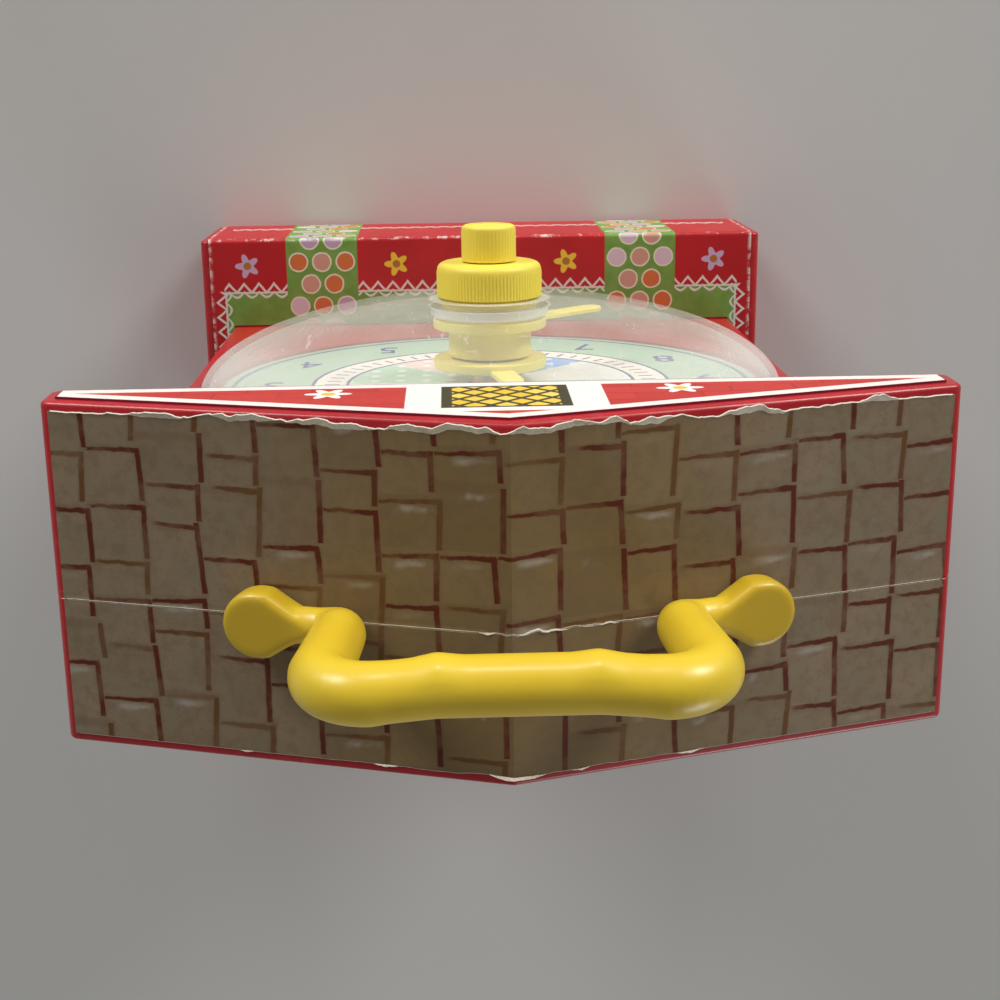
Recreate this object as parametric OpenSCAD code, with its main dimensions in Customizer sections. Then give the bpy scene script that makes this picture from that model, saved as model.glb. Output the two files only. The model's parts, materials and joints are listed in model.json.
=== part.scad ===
// Toy teaching clock: a gabled two-shell case on a wide base, with a domed dial, two setting knobs,
// a carrying handle and a wind-up musical movement. Front faces -Y, the base stands on z = 0.

/* [Case] */
// Width of the roof and of the base
case_w = 158; // [150:1:175]
// Depth of the roof from pediment to back
roof_d = 62; // [56:0.5:66]
// Height of the fascia under the eaves
fascia_h = 9.5; // [8:0.5:14]
// Rise of the ridge above the eaves
ridge_rise = 24; // [18:0.5:32]
// Distance of the waist from the ends of the roof and the base
waist_in = 9; // [7:0.5:10.5]
// Depth of the waist from its front wall to the back
waist_d = 44; // [42:0.5:46]
// Height of the waist between base and roof
waist_h = 176.5; // [165:0.5:190]
// Depth of the base
base_d = 68.3; // [66:0.1:76]
// Height of the base
base_h = 39; // [32:0.5:46]
// Thickness of the moulded walls
wall = 2.2; // [1.8:0.1:2.6]
// Rounding of the outer corners
corner_r = 2; // [1:0.1:2.2]
// Depth of the rear shell, from the back to the seam
seam_d = 27; // [24:0.5:30]
// Length of a sound slot in the back
slot_l = 34; // [20:1:60]
// Width of a sound slot
slot_w = 3; // [2:0.1:4]
// Distance between sound slots
slot_pitch = 9; // [7:0.5:12]
// Number of sound slots
slot_count = 5; // [3:1:7]

/* [Screws] */
// Outer diameter of a screw boss
boss_d = 10; // [9.6:0.1:10.5]
// Shank diameter of a case screw
screw_d = 3; // [2.5:0.1:3.4]
// Head diameter of a case screw
screw_head_d = 6; // [5:0.1:6.4]
// Head height of a case screw
screw_head_h = 2.4; // [1.8:0.1:3]
// Thickness of the boss floor under a screw head
screw_seat = 6; // [4:0.5:8]
// Length of thread in the front boss
screw_grip = 12; // [8:0.5:14]
// Distance of the screws from the ends of the base
base_screw_in = 14; // [12:0.5:20]
// Distance of the screws from the eaves
roof_screw_in = 22; // [20:0.5:26]

/* [Labels] */
// Thickness of the printed paper
label_t = 0.4; // [0.2:0.05:0.6]
// Plastic rim left bare around a label
label_rim = 2.4; // [2.2:0.1:4]
// Margin around the two roof labels
roof_rim = 1.6; // [1.6:0.1:4]
// Gap between the two roof labels at the seam
label_gap = 0.4; // [0.2:0.1:1]

/* [Handle] */
// Distance between the legs, centre to centre
leg_span = 60; // [52:0.2:64]
// Height of the grip's centre above the ridge
grip_rise = 23.6; // [20:0.2:30]
// Diameter of the grip in its middle
grip_d = 9.4; // [8:0.1:10]
// Diameter of the grip at its corners
grip_end_d = 9.8; // [9:0.1:11]
// Diameter of the legs
leg_d = 9; // [7.5:0.1:9.4]
// Centre-line radius of the upper corners
grip_bend = 8; // [6:0.5:10]
// Centre-line radius where a leg turns out to its foot
elbow_r = 6; // [5.2:0.1:7]
// Length of the raised middle of the grip
pad_l = 24; // [14:1:30]
// How far the raised middle stands out at the front
pad_out = 1; // [0.3:0.1:1.5]
// Diameter of a foot
foot_d = 11.6; // [11:0.2:14]
// Thickness of a foot
foot_t = 6; // [4:0.2:7]
// Distance from leg to foot along the slope
foot_reach = 11.3; // [10.5:0.1:13]
// Width of the neck where the foot meets the leg
neck_w = 8; // [5:0.2:8.6]
// Diameter of the peg through the roof
peg_d = 7; // [5:0.2:8]
// Diameter of the peg's head inside the roof
peg_head_d = 11; // [9:0.2:12]
// Thickness of the peg's head
peg_head_t = 2; // [1.5:0.1:3]

/* [Dome and dial] */
// Diameter of the dome at its rim
dome_d = 133; // [130:0.5:134]
// Height of the dome
dome_h = 20.5; // [19:0.1:22]
// Thickness of the dome
dome_t = 1.6; // [1.2:0.1:2]
// Depth of the groove that holds the dome's rim
groove_d = 0.8; // [0.4:0.1:1]
// Wall of the collar in the middle of the dome
collar_t = 2.6; // [1.8:0.1:3]
// Diameter of the dial card
dial_d = 124; // [110:1:125]

/* [Hands and knobs] */
// Diameter of the hub discs
hub_d = 26; // [23:0.5:30]
// Thickness of the hub discs
hub_t = 2.2; // [1.6:0.1:2.6]
// Diameter of the column between the discs
column_d = 19; // [14:0.5:22]
// Distance of the minute hub below the top of the dome
hub_drop = 4.85; // [4.6:0.05:5.2]
// Space between dial card and hour hub
hour_gap = 3.85; // [3.4:0.05:4]
// Length of the minute hand from the axis
minute_l = 38; // [28:0.5:40]
// Length of the hour hand from the axis
hour_l = 27; // [20:0.5:34]
// Width of the hands
hand_w = 5.4; // [4:0.1:7]
// Thickness of the hands
hand_t = 1; // [0.8:0.1:1.2]
// Clock angle of the minute hand
minute_at = 230; // [0:1:359]
// Clock angle of the hour hand
hour_at = 349; // [0:1:359]
// Diameter of the setting knob
set_knob_d = 24; // [22:0.2:27]
// Height of the setting knob
set_knob_h = 7.6; // [6:0.2:10]
// Diameter of the knob's stem in the dome
stem_d = 21.5; // [18:0.1:22]
// Diameter of the winding knob
wind_knob_d = 12.4; // [10:0.2:16]
// Height of the winding knob
wind_knob_h = 8; // [6:0.2:12]
// Rounding of the knobs' front edges
knob_edge = 1.4; // [0.6:0.1:2]
// Depth of the grip ribs
rib_depth = 0.25; // [0.15:0.05:0.6]
// Number of ribs on the setting knob
set_ribs = 96; // [30:1:120]
// Number of ribs on the winding knob
wind_ribs = 48; // [16:1:60]

/* [Shafts] */
// Diameter of the winding arbor
arbor_d = 4; // [3.6:0.1:4.2]
// Wall of the minute tube
minute_tube_t = 1.2; // [1:0.1:1.4]
// Wall of the hour tube
hour_tube_t = 1.2; // [1:0.1:2]
// Diameter of the motion wheel's stud
stud_d = 2; // [1.6:0.1:2.6]
// Diameter of the drum arbor
drum_arbor_d = 3; // [2:0.1:3.4]
// Diameter of the idler arbor and governor spindle
train_arbor_d = 2; // [1.4:0.1:2.2]

/* [Gears] */
// Module of the first motion pair
motion_m = 0.75; // [0.7:0.01:0.78]
// Teeth of the cannon pinion
cannon_z = 12; // [12:1:12]
// Teeth of the motion wheel
motion_z = 36; // [36:1:36]
// Teeth of the motion pinion
motion_pinion_z = 10; // [10:1:10]
// Teeth of the hour wheel
hour_z = 40; // [40:1:40]
// Module of the barrel gear
barrel_m = 0.8; // [0.78:0.01:0.82]
// Teeth of the barrel gear
barrel_z = 54; // [54:1:54]
// Teeth of the drum pinion
drum_pinion_z = 18; // [18:1:18]
// Module of the governor train
train_m = 0.6; // [0.56:0.01:0.64]
// Teeth of the drum wheel and idler wheel
train_wheel_z = 36; // [36:1:36]
// Teeth of the idler pinion and governor pinion
train_pinion_z = 12; // [12:1:12]
// Play between meshed teeth at the pitch circle
backlash = 0.2; // [0.14:0.02:0.26]

/* [Movement] */
// Thickness of the movement plates
plate_t = 1.5; // [1.2:0.1:2]
// Distance between the movement plates
plate_gap = 18.5; // [18:0.1:20]
// Half width of the movement plates
plate_half_w = 46; // [45:0.5:52]
// Reach of the plates above the dial axis
plate_up = 30; // [28:0.5:40]
// Reach of the plates below the dial axis
plate_down = 50; // [49:0.5:60]
// Distance of the pillars from the plates' edges
pillar_in = 6; // [5:0.5:6]
// Outer diameter of the pillars
pillar_d = 6; // [5.4:0.1:7]
// Outer diameter of the posts on the waist wall
post_d = 8; // [6:0.2:9]
// Thickness of the motion wheels
wheel_t = 2; // [1.6:0.1:2.2]
// Thickness of the governor wheels
train_t = 1.5; // [1.2:0.1:1.7]
// Width of the barrel's teeth
barrel_tooth_t = 3; // [2.4:0.1:3.2]
// Height of the spring barrel
barrel_h = 11; // [9:0.1:12]
// Outer diameter of the spring barrel
barrel_d = 39.6; // [36:0.2:40]
// Wall of the spring barrel
barrel_t = 1.2; // [1:0.1:1.6]
// Diameter of the collet that the mainspring hooks on
collet_d = 8; // [6:0.2:9]
// Thickness of the mainspring
spring_t = 0.4; // [0.3:0.05:0.6]
// Turns of the mainspring
spring_turns = 6; // [4:1:8]
// Height of a ratchet tooth
ratchet_tooth = 1.2; // [0.8:0.1:1.6]
// Tip diameter of the ratchet wheel
ratchet_d = 16; // [13:0.2:18]
// Teeth of the ratchet wheel
ratchet_z = 16; // [12:1:20]
// Diameter of the music drum
drum_d = 15; // [12:0.2:15.2]
// Height of the drum's pins
drum_pin_h = 0.7; // [0.4:0.1:0.8]
// Number of comb teeth
comb_z = 12; // [8:1:14]
// Thickness of the comb
comb_t = 0.8; // [0.6:0.1:1.2]
// Length of the comb's teeth
tooth_l = 15; // [12:0.5:18]
// Length of the comb's root on its bracket
comb_root = 12; // [10:0.5:14]
// Radius of the governor fan
fan_r = 9; // [6:0.2:10]

/* [Clearances] */
// Radial play of a running shaft
run_fit = 0.06; // [0.03:0.01:0.1]
// Radial play of a fixed shaft
fix_fit = 0.02; // [0.01:0.01:0.04]
// Space between pieces that pass each other
run_gap = 0.6; // [0.4:0.05:0.7]
// Space between a wheel and a plate
side_gap = 0.8; // [0.6:0.05:1]
// Play of a moulded fit
mould_fit = 0.1; // [0.05:0.01:0.15]

/* [Hidden] */
$fn = 64;

red = [0.72, 0.05, 0.07];
yellow = [0.96, 0.80, 0.10];
cream = [0.80, 0.74, 0.62];
clear = [0.85, 0.88, 0.88, 0.35];
steel = [0.62, 0.63, 0.65];
brass = [0.78, 0.62, 0.28];
eps = 0.01;
lap = 0.5;

waist_w = case_w - 2 * waist_in;
// Depth levels of the case, front negative
y_back = base_d / 2;
y_base = -base_d / 2;
y_ped = y_back - roof_d;
y_wall = y_back - waist_d;
y_seam = y_back - seam_d;
// Heights of the case
z_soffit = base_h + waist_h;
z_eave = z_soffit + fascia_h;
z_ridge = z_eave + ridge_rise;
dial_z = base_h + waist_h / 2;
slope = atan(ridge_rise / (case_w / 2));
dial = [0, dial_z];

// Screw places as [x, z]
boss_z_roof = z_soffit + wall + boss_d / 2 + run_gap;
base_bosses = [for (side = [-1, 1]) [side * (case_w / 2 - base_screw_in), base_screw_in]];
roof_bosses = [for (side = [-1, 1]) [side * (case_w / 2 - roof_screw_in), boss_z_roof]];
y_screw_seat = y_seam + screw_seat;
counterbore_d = screw_head_d + 8 * mould_fit;

// Stack on the dial axis, from the wall forward
y_card = y_wall - label_t;
y_hour_back = y_card - hour_gap;
y_hour_front = y_hour_back - hub_t;
y_column_back = y_hour_front - run_gap;
y_dome_top = y_wall - dome_h;
y_minute_front = y_dome_top + hub_drop;
y_minute_back = y_minute_front + hub_t;
y_collar_end = y_minute_front - run_gap;
y_knob_back = y_dome_top - mould_fit * 2;
y_knob_front = y_knob_back - set_knob_h;
y_tube_end = y_knob_back - set_knob_h / 2;
y_wind_back = y_knob_front - run_gap / 2;
y_wind_front = y_wind_back - wind_knob_h;
arbor_in_knob = wind_knob_h * 0.75;
arbor_r = arbor_d / 2;
minute_bore = arbor_r + run_fit;
minute_tube_r = minute_bore + minute_tube_t;
hour_bore = minute_tube_r + run_fit;
hour_tube_r = hour_bore + hour_tube_t;
stem_bore = stem_d / 2 + mould_fit;
collar_r = stem_bore + collar_t;

// Stack of the movement, from the wall backward
y_in = y_wall + wall;
y_hour_wheel = y_in + side_gap;
y_motion = y_hour_wheel + wheel_t + run_gap;
y_front_plate = y_motion + wheel_t + side_gap;
y_inside = y_front_plate + plate_t;
y_back_plate = y_inside + plate_gap;
y_outside = y_back_plate + plate_t;
y_barrel = y_inside + side_gap;
y_barrel_end = y_barrel + barrel_h;
y_idler_wheel = y_barrel + barrel_tooth_t + run_gap;
y_drum = y_idler_wheel + train_t + run_gap;
y_drum_wheel = y_back_plate - side_gap - train_t;
drum_l = y_drum_wheel - run_gap - y_drum;
y_ratchet = y_back_plate - 2 * side_gap - wheel_t;
arbor_proud = 0.5;

// Gear centres as [x, z], and the turn of each wheel that puts its teeth in mesh
hour_m = motion_m * (cannon_z + motion_z) / (motion_pinion_z + hour_z);
motion_dir = 0;
drum_dir = -90;
idler_dir = 200;
governor_dir = 180;
function polar(r, a) = r * [cos(a), sin(a)];
motion_at = dial + polar(motion_m * (cannon_z + motion_z) / 2, motion_dir);
drum_at = dial + polar(barrel_m * (barrel_z + drum_pinion_z) / 2, drum_dir);
train_step = train_m * (train_wheel_z + train_pinion_z) / 2;
idler_at = drum_at + polar(train_step, idler_dir);
governor_at = idler_at + polar(train_step, governor_dir);
// Wheels are drawn looking from the front with z down, so directions change sign
function meshed(phase, za, zb, dir) = -dir + 180 + (-dir - phase) * za / zb + 180 / zb;
motion_phase = meshed(0, cannon_z, motion_z, motion_dir);
hour_phase = meshed(motion_phase, motion_pinion_z, hour_z, motion_dir + 180);
drum_phase = meshed(0, barrel_z, drum_pinion_z, drum_dir);
idler_phase = meshed(drum_phase, train_wheel_z, train_pinion_z, idler_dir);
governor_phase = meshed(idler_phase, train_wheel_z, train_pinion_z, governor_dir);

// Movement corners as [x, z]
pillar_x = plate_half_w - pillar_in;
pillar_ats = [for (x = [-1, 1], z = [plate_up - pillar_in, pillar_in - plate_down])
    dial + [x * pillar_x, z]];
pillar_bore = screw_d / 2 + mould_fit;

// Comb, level with the drum's axis
comb_tip_x = drum_at[0] + drum_d / 2 + drum_pin_h + mould_fit * 3;
comb_w = drum_l - 2 * mould_fit;
comb_pitch = comb_w / comb_z;
comb_slot = comb_pitch / 3;
comb_bottom = drum_at[1] - comb_t / 2;
comb_screw_d = 1.6;
small_head_r = comb_screw_d * 0.9;
small_head_h = comb_screw_d * 0.7;
comb_screw_x = comb_tip_x + tooth_l + comb_root / 2;
comb_screw_ys = [y_drum + comb_w / 4, y_drum + comb_w * 3 / 4];
bracket_h = 7;

// Handle, on the seam
leg_x = leg_span / 2;
grip_z = z_ridge + grip_rise;
foot_lift = label_t + mould_fit / 2;
function roof_z(x) = z_ridge - abs(x) * tan(slope);
foot_x = leg_x + foot_reach * cos(slope);
foot_mid = foot_lift + foot_t / 2;
elbow_x = leg_x + elbow_r * (1 - sin(slope));
elbow_c = [leg_x + elbow_r, roof_z(elbow_x) + foot_mid / cos(slope) + elbow_r * cos(slope)];
elbow_steps = 5;
bend_steps = 7;
peg_hole_r = peg_d / 2 + mould_fit;

// Points of a polygon with its corners rounded
function unit(v) = v / norm(v);
function turn(from, to) = (to - from + 540) % 360 - 180;
function corner_arc(a, b, c, r, steps) =
    let (u = unit(a - b), v = unit(c - b), half = acos(u * v) / 2)
    let (centre = b + unit(u + v) * r / sin(half))
    let (p = b + u * r / tan(half) - centre, q = b + v * r / tan(half) - centre)
    let (start = atan2(p[1], p[0]), sweep = turn(start, atan2(q[1], q[0])))
    [for (i = [0 : steps]) centre + polar(r, start + sweep * i / steps)];
function rounded(pts, r, steps = 5) =
    let (n = len(pts))
    [for (i = [0 : n - 1]) each corner_arc(pts[(i + n - 1) % n], pts[i], pts[(i + 1) % n], r, steps)];

// Points of a spur gear with involute flanks
pressure = 25;
addendum = 0.8;
dedendum = 1.05;
flank_steps = 3;
function involute(a) = tan(a) * 180 / PI - a;
function tooth_half(r, rp, rb, m) =
    (PI * m / 2 - backlash) / (2 * rp) * 180 / PI + involute(pressure) - involute(acos(min(1, rb / r)));
function gear_points(z, m) =
    let (rp = m * z / 2, rb = rp * cos(pressure), ra = rp + addendum * m, rf = rp - dedendum * m)
    let (r0 = max(rb, rf))
    let (flank = [for (i = [0 : flank_steps]) r0 + (ra - r0) * i / flank_steps])
    let (half = [for (r = flank) tooth_half(r, rp, rb, m)])
    [for (k = [0 : z - 1]) each concat(
        [polar(rf, k * 360 / z - half[0])],
        [for (i = [0 : flank_steps]) polar(flank[i], k * 360 / z - half[i])],
        [for (i = [flank_steps : -1 : 0]) polar(flank[i], k * 360 / z + half[i])],
        [polar(rf, k * 360 / z + half[0])])];

// Outline in x and z, carried from depth y0 to depth y1
module along_y(y0, y1) {
    translate([0, y1, 0]) rotate([90, 0, 0]) linear_extrude(y1 - y0) children();
}
// Round bar along the depth, at a place given as [x, z]
module y_rod(at, y0, y1, r) {
    translate([at[0], y0, at[1]]) rotate([-90, 0, 0]) cylinder(r = r, h = y1 - y0);
}
// Toothed wheel from depth y0, at a place given as [x, z]
module gear(z, m, at, y0, t, phase, bore) {
    translate([at[0], y0, at[1]]) rotate([-90, 0, 0]) difference() {
        linear_extrude(t) rotate(phase) polygon(gear_points(z, m));
        translate([0, 0, -eps]) cylinder(r = bore, h = t + 2 * eps);
    }
}
// What stands on the dial axis at depth y and faces the front
module on_dial(y) {
    translate([0, y, dial_z]) rotate([90, 0, 0]) children();
}
// Block between two corners
module block(low, high) {
    translate(low) cube(high - low);
}

function base_corners(inset) = let (x = case_w / 2 - inset)
    [[-x, inset], [x, inset], [x, base_h - inset], [-x, base_h - inset]];
function roof_corners(inset) =
    let (x = case_w / 2 - inset, peak = z_ridge - inset / cos(slope))
    [[-x, z_soffit + inset], [x, z_soffit + inset], [x, peak - x * tan(slope)], [0, peak],
     [-x, peak - x * tan(slope)]];
module waist_outline(inset, reach) {
    translate([-waist_w / 2 + inset, base_h - reach])
        square([waist_w - 2 * inset, waist_h + 2 * reach]);
}

// Solid case and its hollow, from depth y0 to depth y1
module case_outer(y0, y1) {
    along_y(max(y0, y_base), y1) polygon(rounded(base_corners(0), corner_r));
    along_y(max(y0, y_wall), y1) waist_outline(0, lap);
    along_y(max(y0, y_ped), y1) polygon(rounded(roof_corners(0), corner_r));
}
module case_hollow(y0, y1) {
    along_y(max(y0, y_base + wall), y1) polygon(base_corners(wall));
    along_y(max(y0, y_wall + wall), y1) waist_outline(wall, wall + lap);
    along_y(max(y0, y_ped + wall), y1) polygon(roof_corners(wall));
}
// What is set square on a roof slope, at distance x from the ridge
module on_slope(side, x) {
    translate([side * x, y_seam, roof_z(x)]) rotate([0, side * slope, 0]) children();
}
module peg_holes() {
    for (side = [-1, 1])
        on_slope(side, foot_x) translate([0, 0, -2 * wall]) cylinder(r = peg_hole_r, h = 4 * wall);
}

module front_shell() {
    color(red) difference() {
        union() {
            difference() {
                case_outer(y_base, y_seam);
                case_hollow(y_base, y_seam + eps);
            }
            for (at = base_bosses)
                y_rod(at, y_base + wall - lap, y_seam, boss_d / 2);
            for (at = roof_bosses)
                y_rod(at, y_ped + wall - lap, y_seam, boss_d / 2);
            for (at = pillar_ats)
                y_rod(at, y_in - lap, y_front_plate, post_d / 2);
        }
        for (at = concat(base_bosses, roof_bosses))
            y_rod(at, y_seam - screw_grip - 1, y_seam + 1, screw_d / 2 + mould_fit / 2);
        for (at = pillar_ats)
            y_rod(at, y_in, y_front_plate + 1, screw_d / 2 + mould_fit / 2);
        y_rod(dial, y_wall - 1, y_in + 1, hour_tube_r + run_fit);
        difference() {
            y_rod(dial, y_wall - 1, y_wall + groove_d, dome_d / 2 + mould_fit);
            y_rod(dial, y_wall - 2, y_wall + groove_d + 1, dome_d / 2 - dome_t - mould_fit);
        }
        peg_holes();
    }
}

module rear_shell() {
    color(red) difference() {
        union() {
            difference() {
                case_outer(y_seam, y_back);
                case_hollow(y_seam - eps, y_back - wall);
            }
            for (at = concat(base_bosses, roof_bosses))
                y_rod(at, y_seam, y_back - wall + lap, boss_d / 2);
        }
        for (at = concat(base_bosses, roof_bosses)) {
            y_rod(at, y_seam - 1, y_back, screw_d / 2 + mould_fit);
            y_rod(at, y_screw_seat, y_back + 1, counterbore_d / 2);
        }
        for (i = [0 : slot_count - 1])
            translate([0, y_back - wall / 2, dial_z + (i - (slot_count - 1) / 2) * slot_pitch])
                rotate([90, 0, 0]) sound_slot();
        peg_holes();
    }
}
module sound_slot() {
    run = slot_l - slot_w;
    translate([0, 0, -wall]) linear_extrude(2 * wall) square([run, slot_w], center = true);
    for (side = [-1, 1])
        translate([side * run / 2, 0, -wall]) cylinder(d = slot_w, h = 2 * wall);
}

module case_screws() {
    color(steel) for (at = concat(base_bosses, roof_bosses)) {
        difference() {
            y_rod(at, y_screw_seat, y_screw_seat + screw_head_h, screw_head_d / 2);
            for (a = [0, 90])
                translate([at[0], y_screw_seat + screw_head_h, at[1]]) rotate([0, a, 0])
                    cube([screw_head_d * 0.6, screw_head_h, screw_head_d * 0.14], center = true);
        }
        y_rod(at, y_seam - screw_grip, y_screw_seat + eps, screw_d / 2);
    }
}

// Radius of the leg at height z, and of the elbow where it leans away from the roof by an angle
function leg_half(z) = leg_d / 2 + (grip_end_d - leg_d) / 2 * (z - elbow_c[1]) / (grip_z - elbow_c[1]);
function elbow_half(lean) = min(leg_d / 2, (elbow_r + foot_t / 2) / cos(lean) - elbow_r - mould_fit);
neck_half = foot_t / 2 - 2 * mould_fit;
// Stations of the handle's centre line, from the right foot to the middle.
// Each is [x, y, z, heading, radius].
handle_half = concat(
    [[foot_x, 0, roof_z(foot_x) + foot_mid / cos(slope), 180 - slope, neck_half]],
    [for (i = [0 : elbow_steps]) let (lean = (90 - slope) * i / elbow_steps, a = 180 - slope - lean)
        [elbow_c[0] - elbow_r * sin(a), 0, elbow_c[1] + elbow_r * cos(a), a, elbow_half(lean)]],
    [for (i = [0 : bend_steps]) let (a = 90 + 90 * i / bend_steps)
        let (z = grip_z - grip_bend - grip_bend * cos(a))
        [leg_x - grip_bend + grip_bend * sin(a), 0, z, a, leg_half(z)]],
    [[pad_l / 2 + pad_out * 2, 0, grip_z, 180, (grip_d + grip_end_d) / 4],
     [pad_l / 2, -pad_out, grip_z, 180, grip_d / 2], [0, -pad_out, grip_z, 180, grip_d / 2]]);
handle_last = len(handle_half) - 1;
handle_line = concat(handle_half, [for (i = [handle_last - 1 : -1 : 0]) let (p = handle_half[i])
    [-p[0], p[1], p[2], 360 - p[3], p[4]]]);
// Round bar that follows a list of stations
module swept_bar(line, sides) {
    n = len(line);
    points = [for (p = line, k = [0 : sides - 1]) let (t = k * 360 / sides)
        [p[0] - p[4] * cos(t) * sin(p[3]), y_seam + p[1] + p[4] * sin(t),
         p[2] + p[4] * cos(t) * cos(p[3])]];
    walls = [for (i = [0 : n - 2], k = [0 : sides - 1])
        let (a = i * sides + k, b = i * sides + (k + 1) % sides)
        each [[a, b, a + sides], [b, b + sides, a + sides]]];
    ends = [[for (k = [sides - 1 : -1 : 0]) k], [for (k = [0 : sides - 1]) (n - 1) * sides + k]];
    polyhedron(points, concat(walls, ends));
}
module handle() {
    color(yellow) {
        swept_bar(handle_line, 16);
        for (side = [-1, 1])
            handle_foot(side);
    }
}
module handle_foot(side) {
    on_slope(side, foot_x) {
        translate([0, 0, foot_lift]) cylinder(d = foot_d, h = foot_t);
        translate([0, 0, foot_lift]) linear_extrude(foot_t) polygon([[0, foot_d / 2], [0, -foot_d / 2],
            [-side * foot_reach, -neck_w / 2], [-side * foot_reach, neck_w / 2]]);
        translate([0, 0, -wall - mould_fit - lap])
            cylinder(d = peg_d, h = wall + mould_fit + 2 * lap + foot_lift);
        translate([0, 0, -wall - mould_fit - peg_head_t]) cylinder(d = peg_head_d, h = peg_head_t);
    }
}

// Height of the dome's elliptical crown at radius r, for rim radius rim and crown height top
function crown(r, rim, top) = top * sqrt(max(0, 1 - r * r / (rim * rim)));
dome_steps = 18;
function crown_line(rim, top, r_in) = let (a_end = acos(r_in / rim))
    [for (i = [0 : dome_steps]) let (a = a_end * i / dome_steps) [rim * cos(a), top * sin(a)]];
module dome() {
    rim = dome_d / 2;
    outer = crown_line(rim, dome_h, stem_bore);
    inner = crown_line(rim - dome_t, dome_h - dome_t, stem_bore);
    color(clear) on_dial(y_wall) {
        rotate_extrude($fn = 96) polygon(concat([for (p = outer) p],
            [for (i = [dome_steps : -1 : 0]) inner[i]]));
        rotate_extrude($fn = 96) translate([rim - dome_t, -groove_d + mould_fit])
            square([dome_t, groove_d - mould_fit + eps]);
        rotate_extrude($fn = 96) translate([stem_bore, y_wall - y_collar_end])
            square([collar_t, crown(collar_r, rim, dome_h) - dome_t / 2 - (y_wall - y_collar_end)]);
    }
}

module dial_card() {
    color([0.72, 0.82, 0.86]) difference() {
        y_rod(dial, y_card, y_wall, dial_d / 2);
        y_rod(dial, y_card - 1, y_wall + 1, hour_tube_r + run_gap);
    }
}

// Folded sheet on both slopes, from depth y0 to depth y1
module roof_sheet(y0, y1) {
    x = case_w / 2 - roof_rim;
    up = label_t / cos(slope);
    along_y(y0, y1) polygon([[-x, roof_z(x)], [0, z_ridge], [x, roof_z(x)],
        [x, roof_z(x) + up], [0, z_ridge + up], [-x, roof_z(x) + up]]);
}
module roof_label_front() {
    color(cream) difference() {
        roof_sheet(y_ped + roof_rim, y_seam - label_gap / 2);
        peg_holes();
    }
}
module roof_label_rear() {
    color(cream) difference() {
        roof_sheet(y_seam + label_gap / 2, y_back - roof_rim);
        peg_holes();
    }
}
module pediment_label() {
    color([0.80, 0.10, 0.10]) along_y(y_ped - label_t, y_ped) polygon(roof_corners(label_rim));
}
module base_label() {
    x = case_w / 2 - label_rim;
    slot = waist_w / 2 + label_gap;
    color([0.30, 0.55, 0.20]) difference() {
        union() {
            block([-x, y_base - label_t, label_rim], [x, y_base, base_h + label_t]);
            block([-x, y_base - eps, base_h], [x, y_seam - label_gap, base_h + label_t]);
        }
        block([-slot, y_wall - label_gap, base_h - 1], [slot, y_seam + 1, base_h + 1]);
    }
}
module side_sheet(side) {
    x = side * waist_w / 2;
    color([0.80, 0.10, 0.10])
        block([min(x, x + side * label_t), y_wall + label_rim, base_h + label_rim],
            [max(x, x + side * label_t), y_back - label_rim, z_soffit - label_rim]);
}
module side_label_left() { side_sheet(-1); }
module side_label_right() { side_sheet(1); }

// Ribbed knob standing on z = 0, its far edge rounded above the ribs
module ribbed_knob(d, h, ribs) {
    r = d / 2;
    core = r - rib_depth;
    linear_extrude(h - knob_edge)
        polygon([for (i = [0 : 2 * ribs - 1]) polar(i % 2 == 0 ? r : core - eps, i * 180 / ribs)]);
    rotate_extrude() {
        square([core - knob_edge, h]);
        translate([0, h - knob_edge - eps]) square([core, eps]);
        intersection() {
            translate([core - knob_edge, h - knob_edge]) circle(knob_edge);
            translate([0, h - knob_edge]) square([core, knob_edge]);
        }
    }
}
module setting_knob() {
    color(yellow) difference() {
        union() {
            on_dial(y_knob_back) ribbed_knob(set_knob_d, set_knob_h, set_ribs);
            y_rod(dial, y_knob_back - lap, y_minute_front, stem_d / 2);
        }
        y_rod(dial, y_tube_end, y_minute_front + 1, minute_tube_r + fix_fit);
        y_rod(dial, y_knob_front - 1, y_tube_end + eps, minute_bore);
    }
}
// Flat hand from the axis, pointing up, standing on z = 0
module hand_blade(l) {
    translate([-hand_w / 2, 0, 0]) cube([hand_w, l - hand_w / 2, hand_t]);
    translate([0, l - hand_w / 2, 0]) cylinder(d = hand_w, h = hand_t);
}
module minute_hand() {
    color(yellow) difference() {
        union() {
            y_rod(dial, y_minute_front, y_minute_back, hub_d / 2);
            y_rod(dial, y_minute_back - eps, y_column_back, column_d / 2);
            on_dial(y_minute_back) rotate([0, 0, -minute_at]) hand_blade(minute_l);
        }
        y_rod(dial, y_minute_front - 1, y_column_back + 1, minute_tube_r + fix_fit);
    }
}
module cannon_pinion() {
    color(brass) difference() {
        union() {
            y_rod(dial, y_tube_end, y_motion + eps, minute_tube_r);
            gear(cannon_z, motion_m, dial, y_motion, wheel_t, 0, minute_bore);
        }
        y_rod(dial, y_tube_end - 1, y_motion + wheel_t + 1, minute_bore);
    }
}
module hour_hand() {
    color(yellow) difference() {
        union() {
            y_rod(dial, y_hour_front, y_hour_back, hub_d / 2);
            on_dial(y_hour_back) rotate([0, 0, -hour_at]) hand_blade(hour_l);
        }
        y_rod(dial, y_hour_front - 1, y_hour_back + 1, hour_tube_r + fix_fit);
    }
}
module hour_wheel() {
    color(brass) difference() {
        union() {
            y_rod(dial, y_hour_front, y_hour_wheel + eps, hour_tube_r);
            gear(hour_z, hour_m, dial, y_hour_wheel, wheel_t, hour_phase, hour_bore);
        }
        y_rod(dial, y_hour_front - 1, y_hour_wheel + wheel_t + 1, hour_bore);
    }
}
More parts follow.
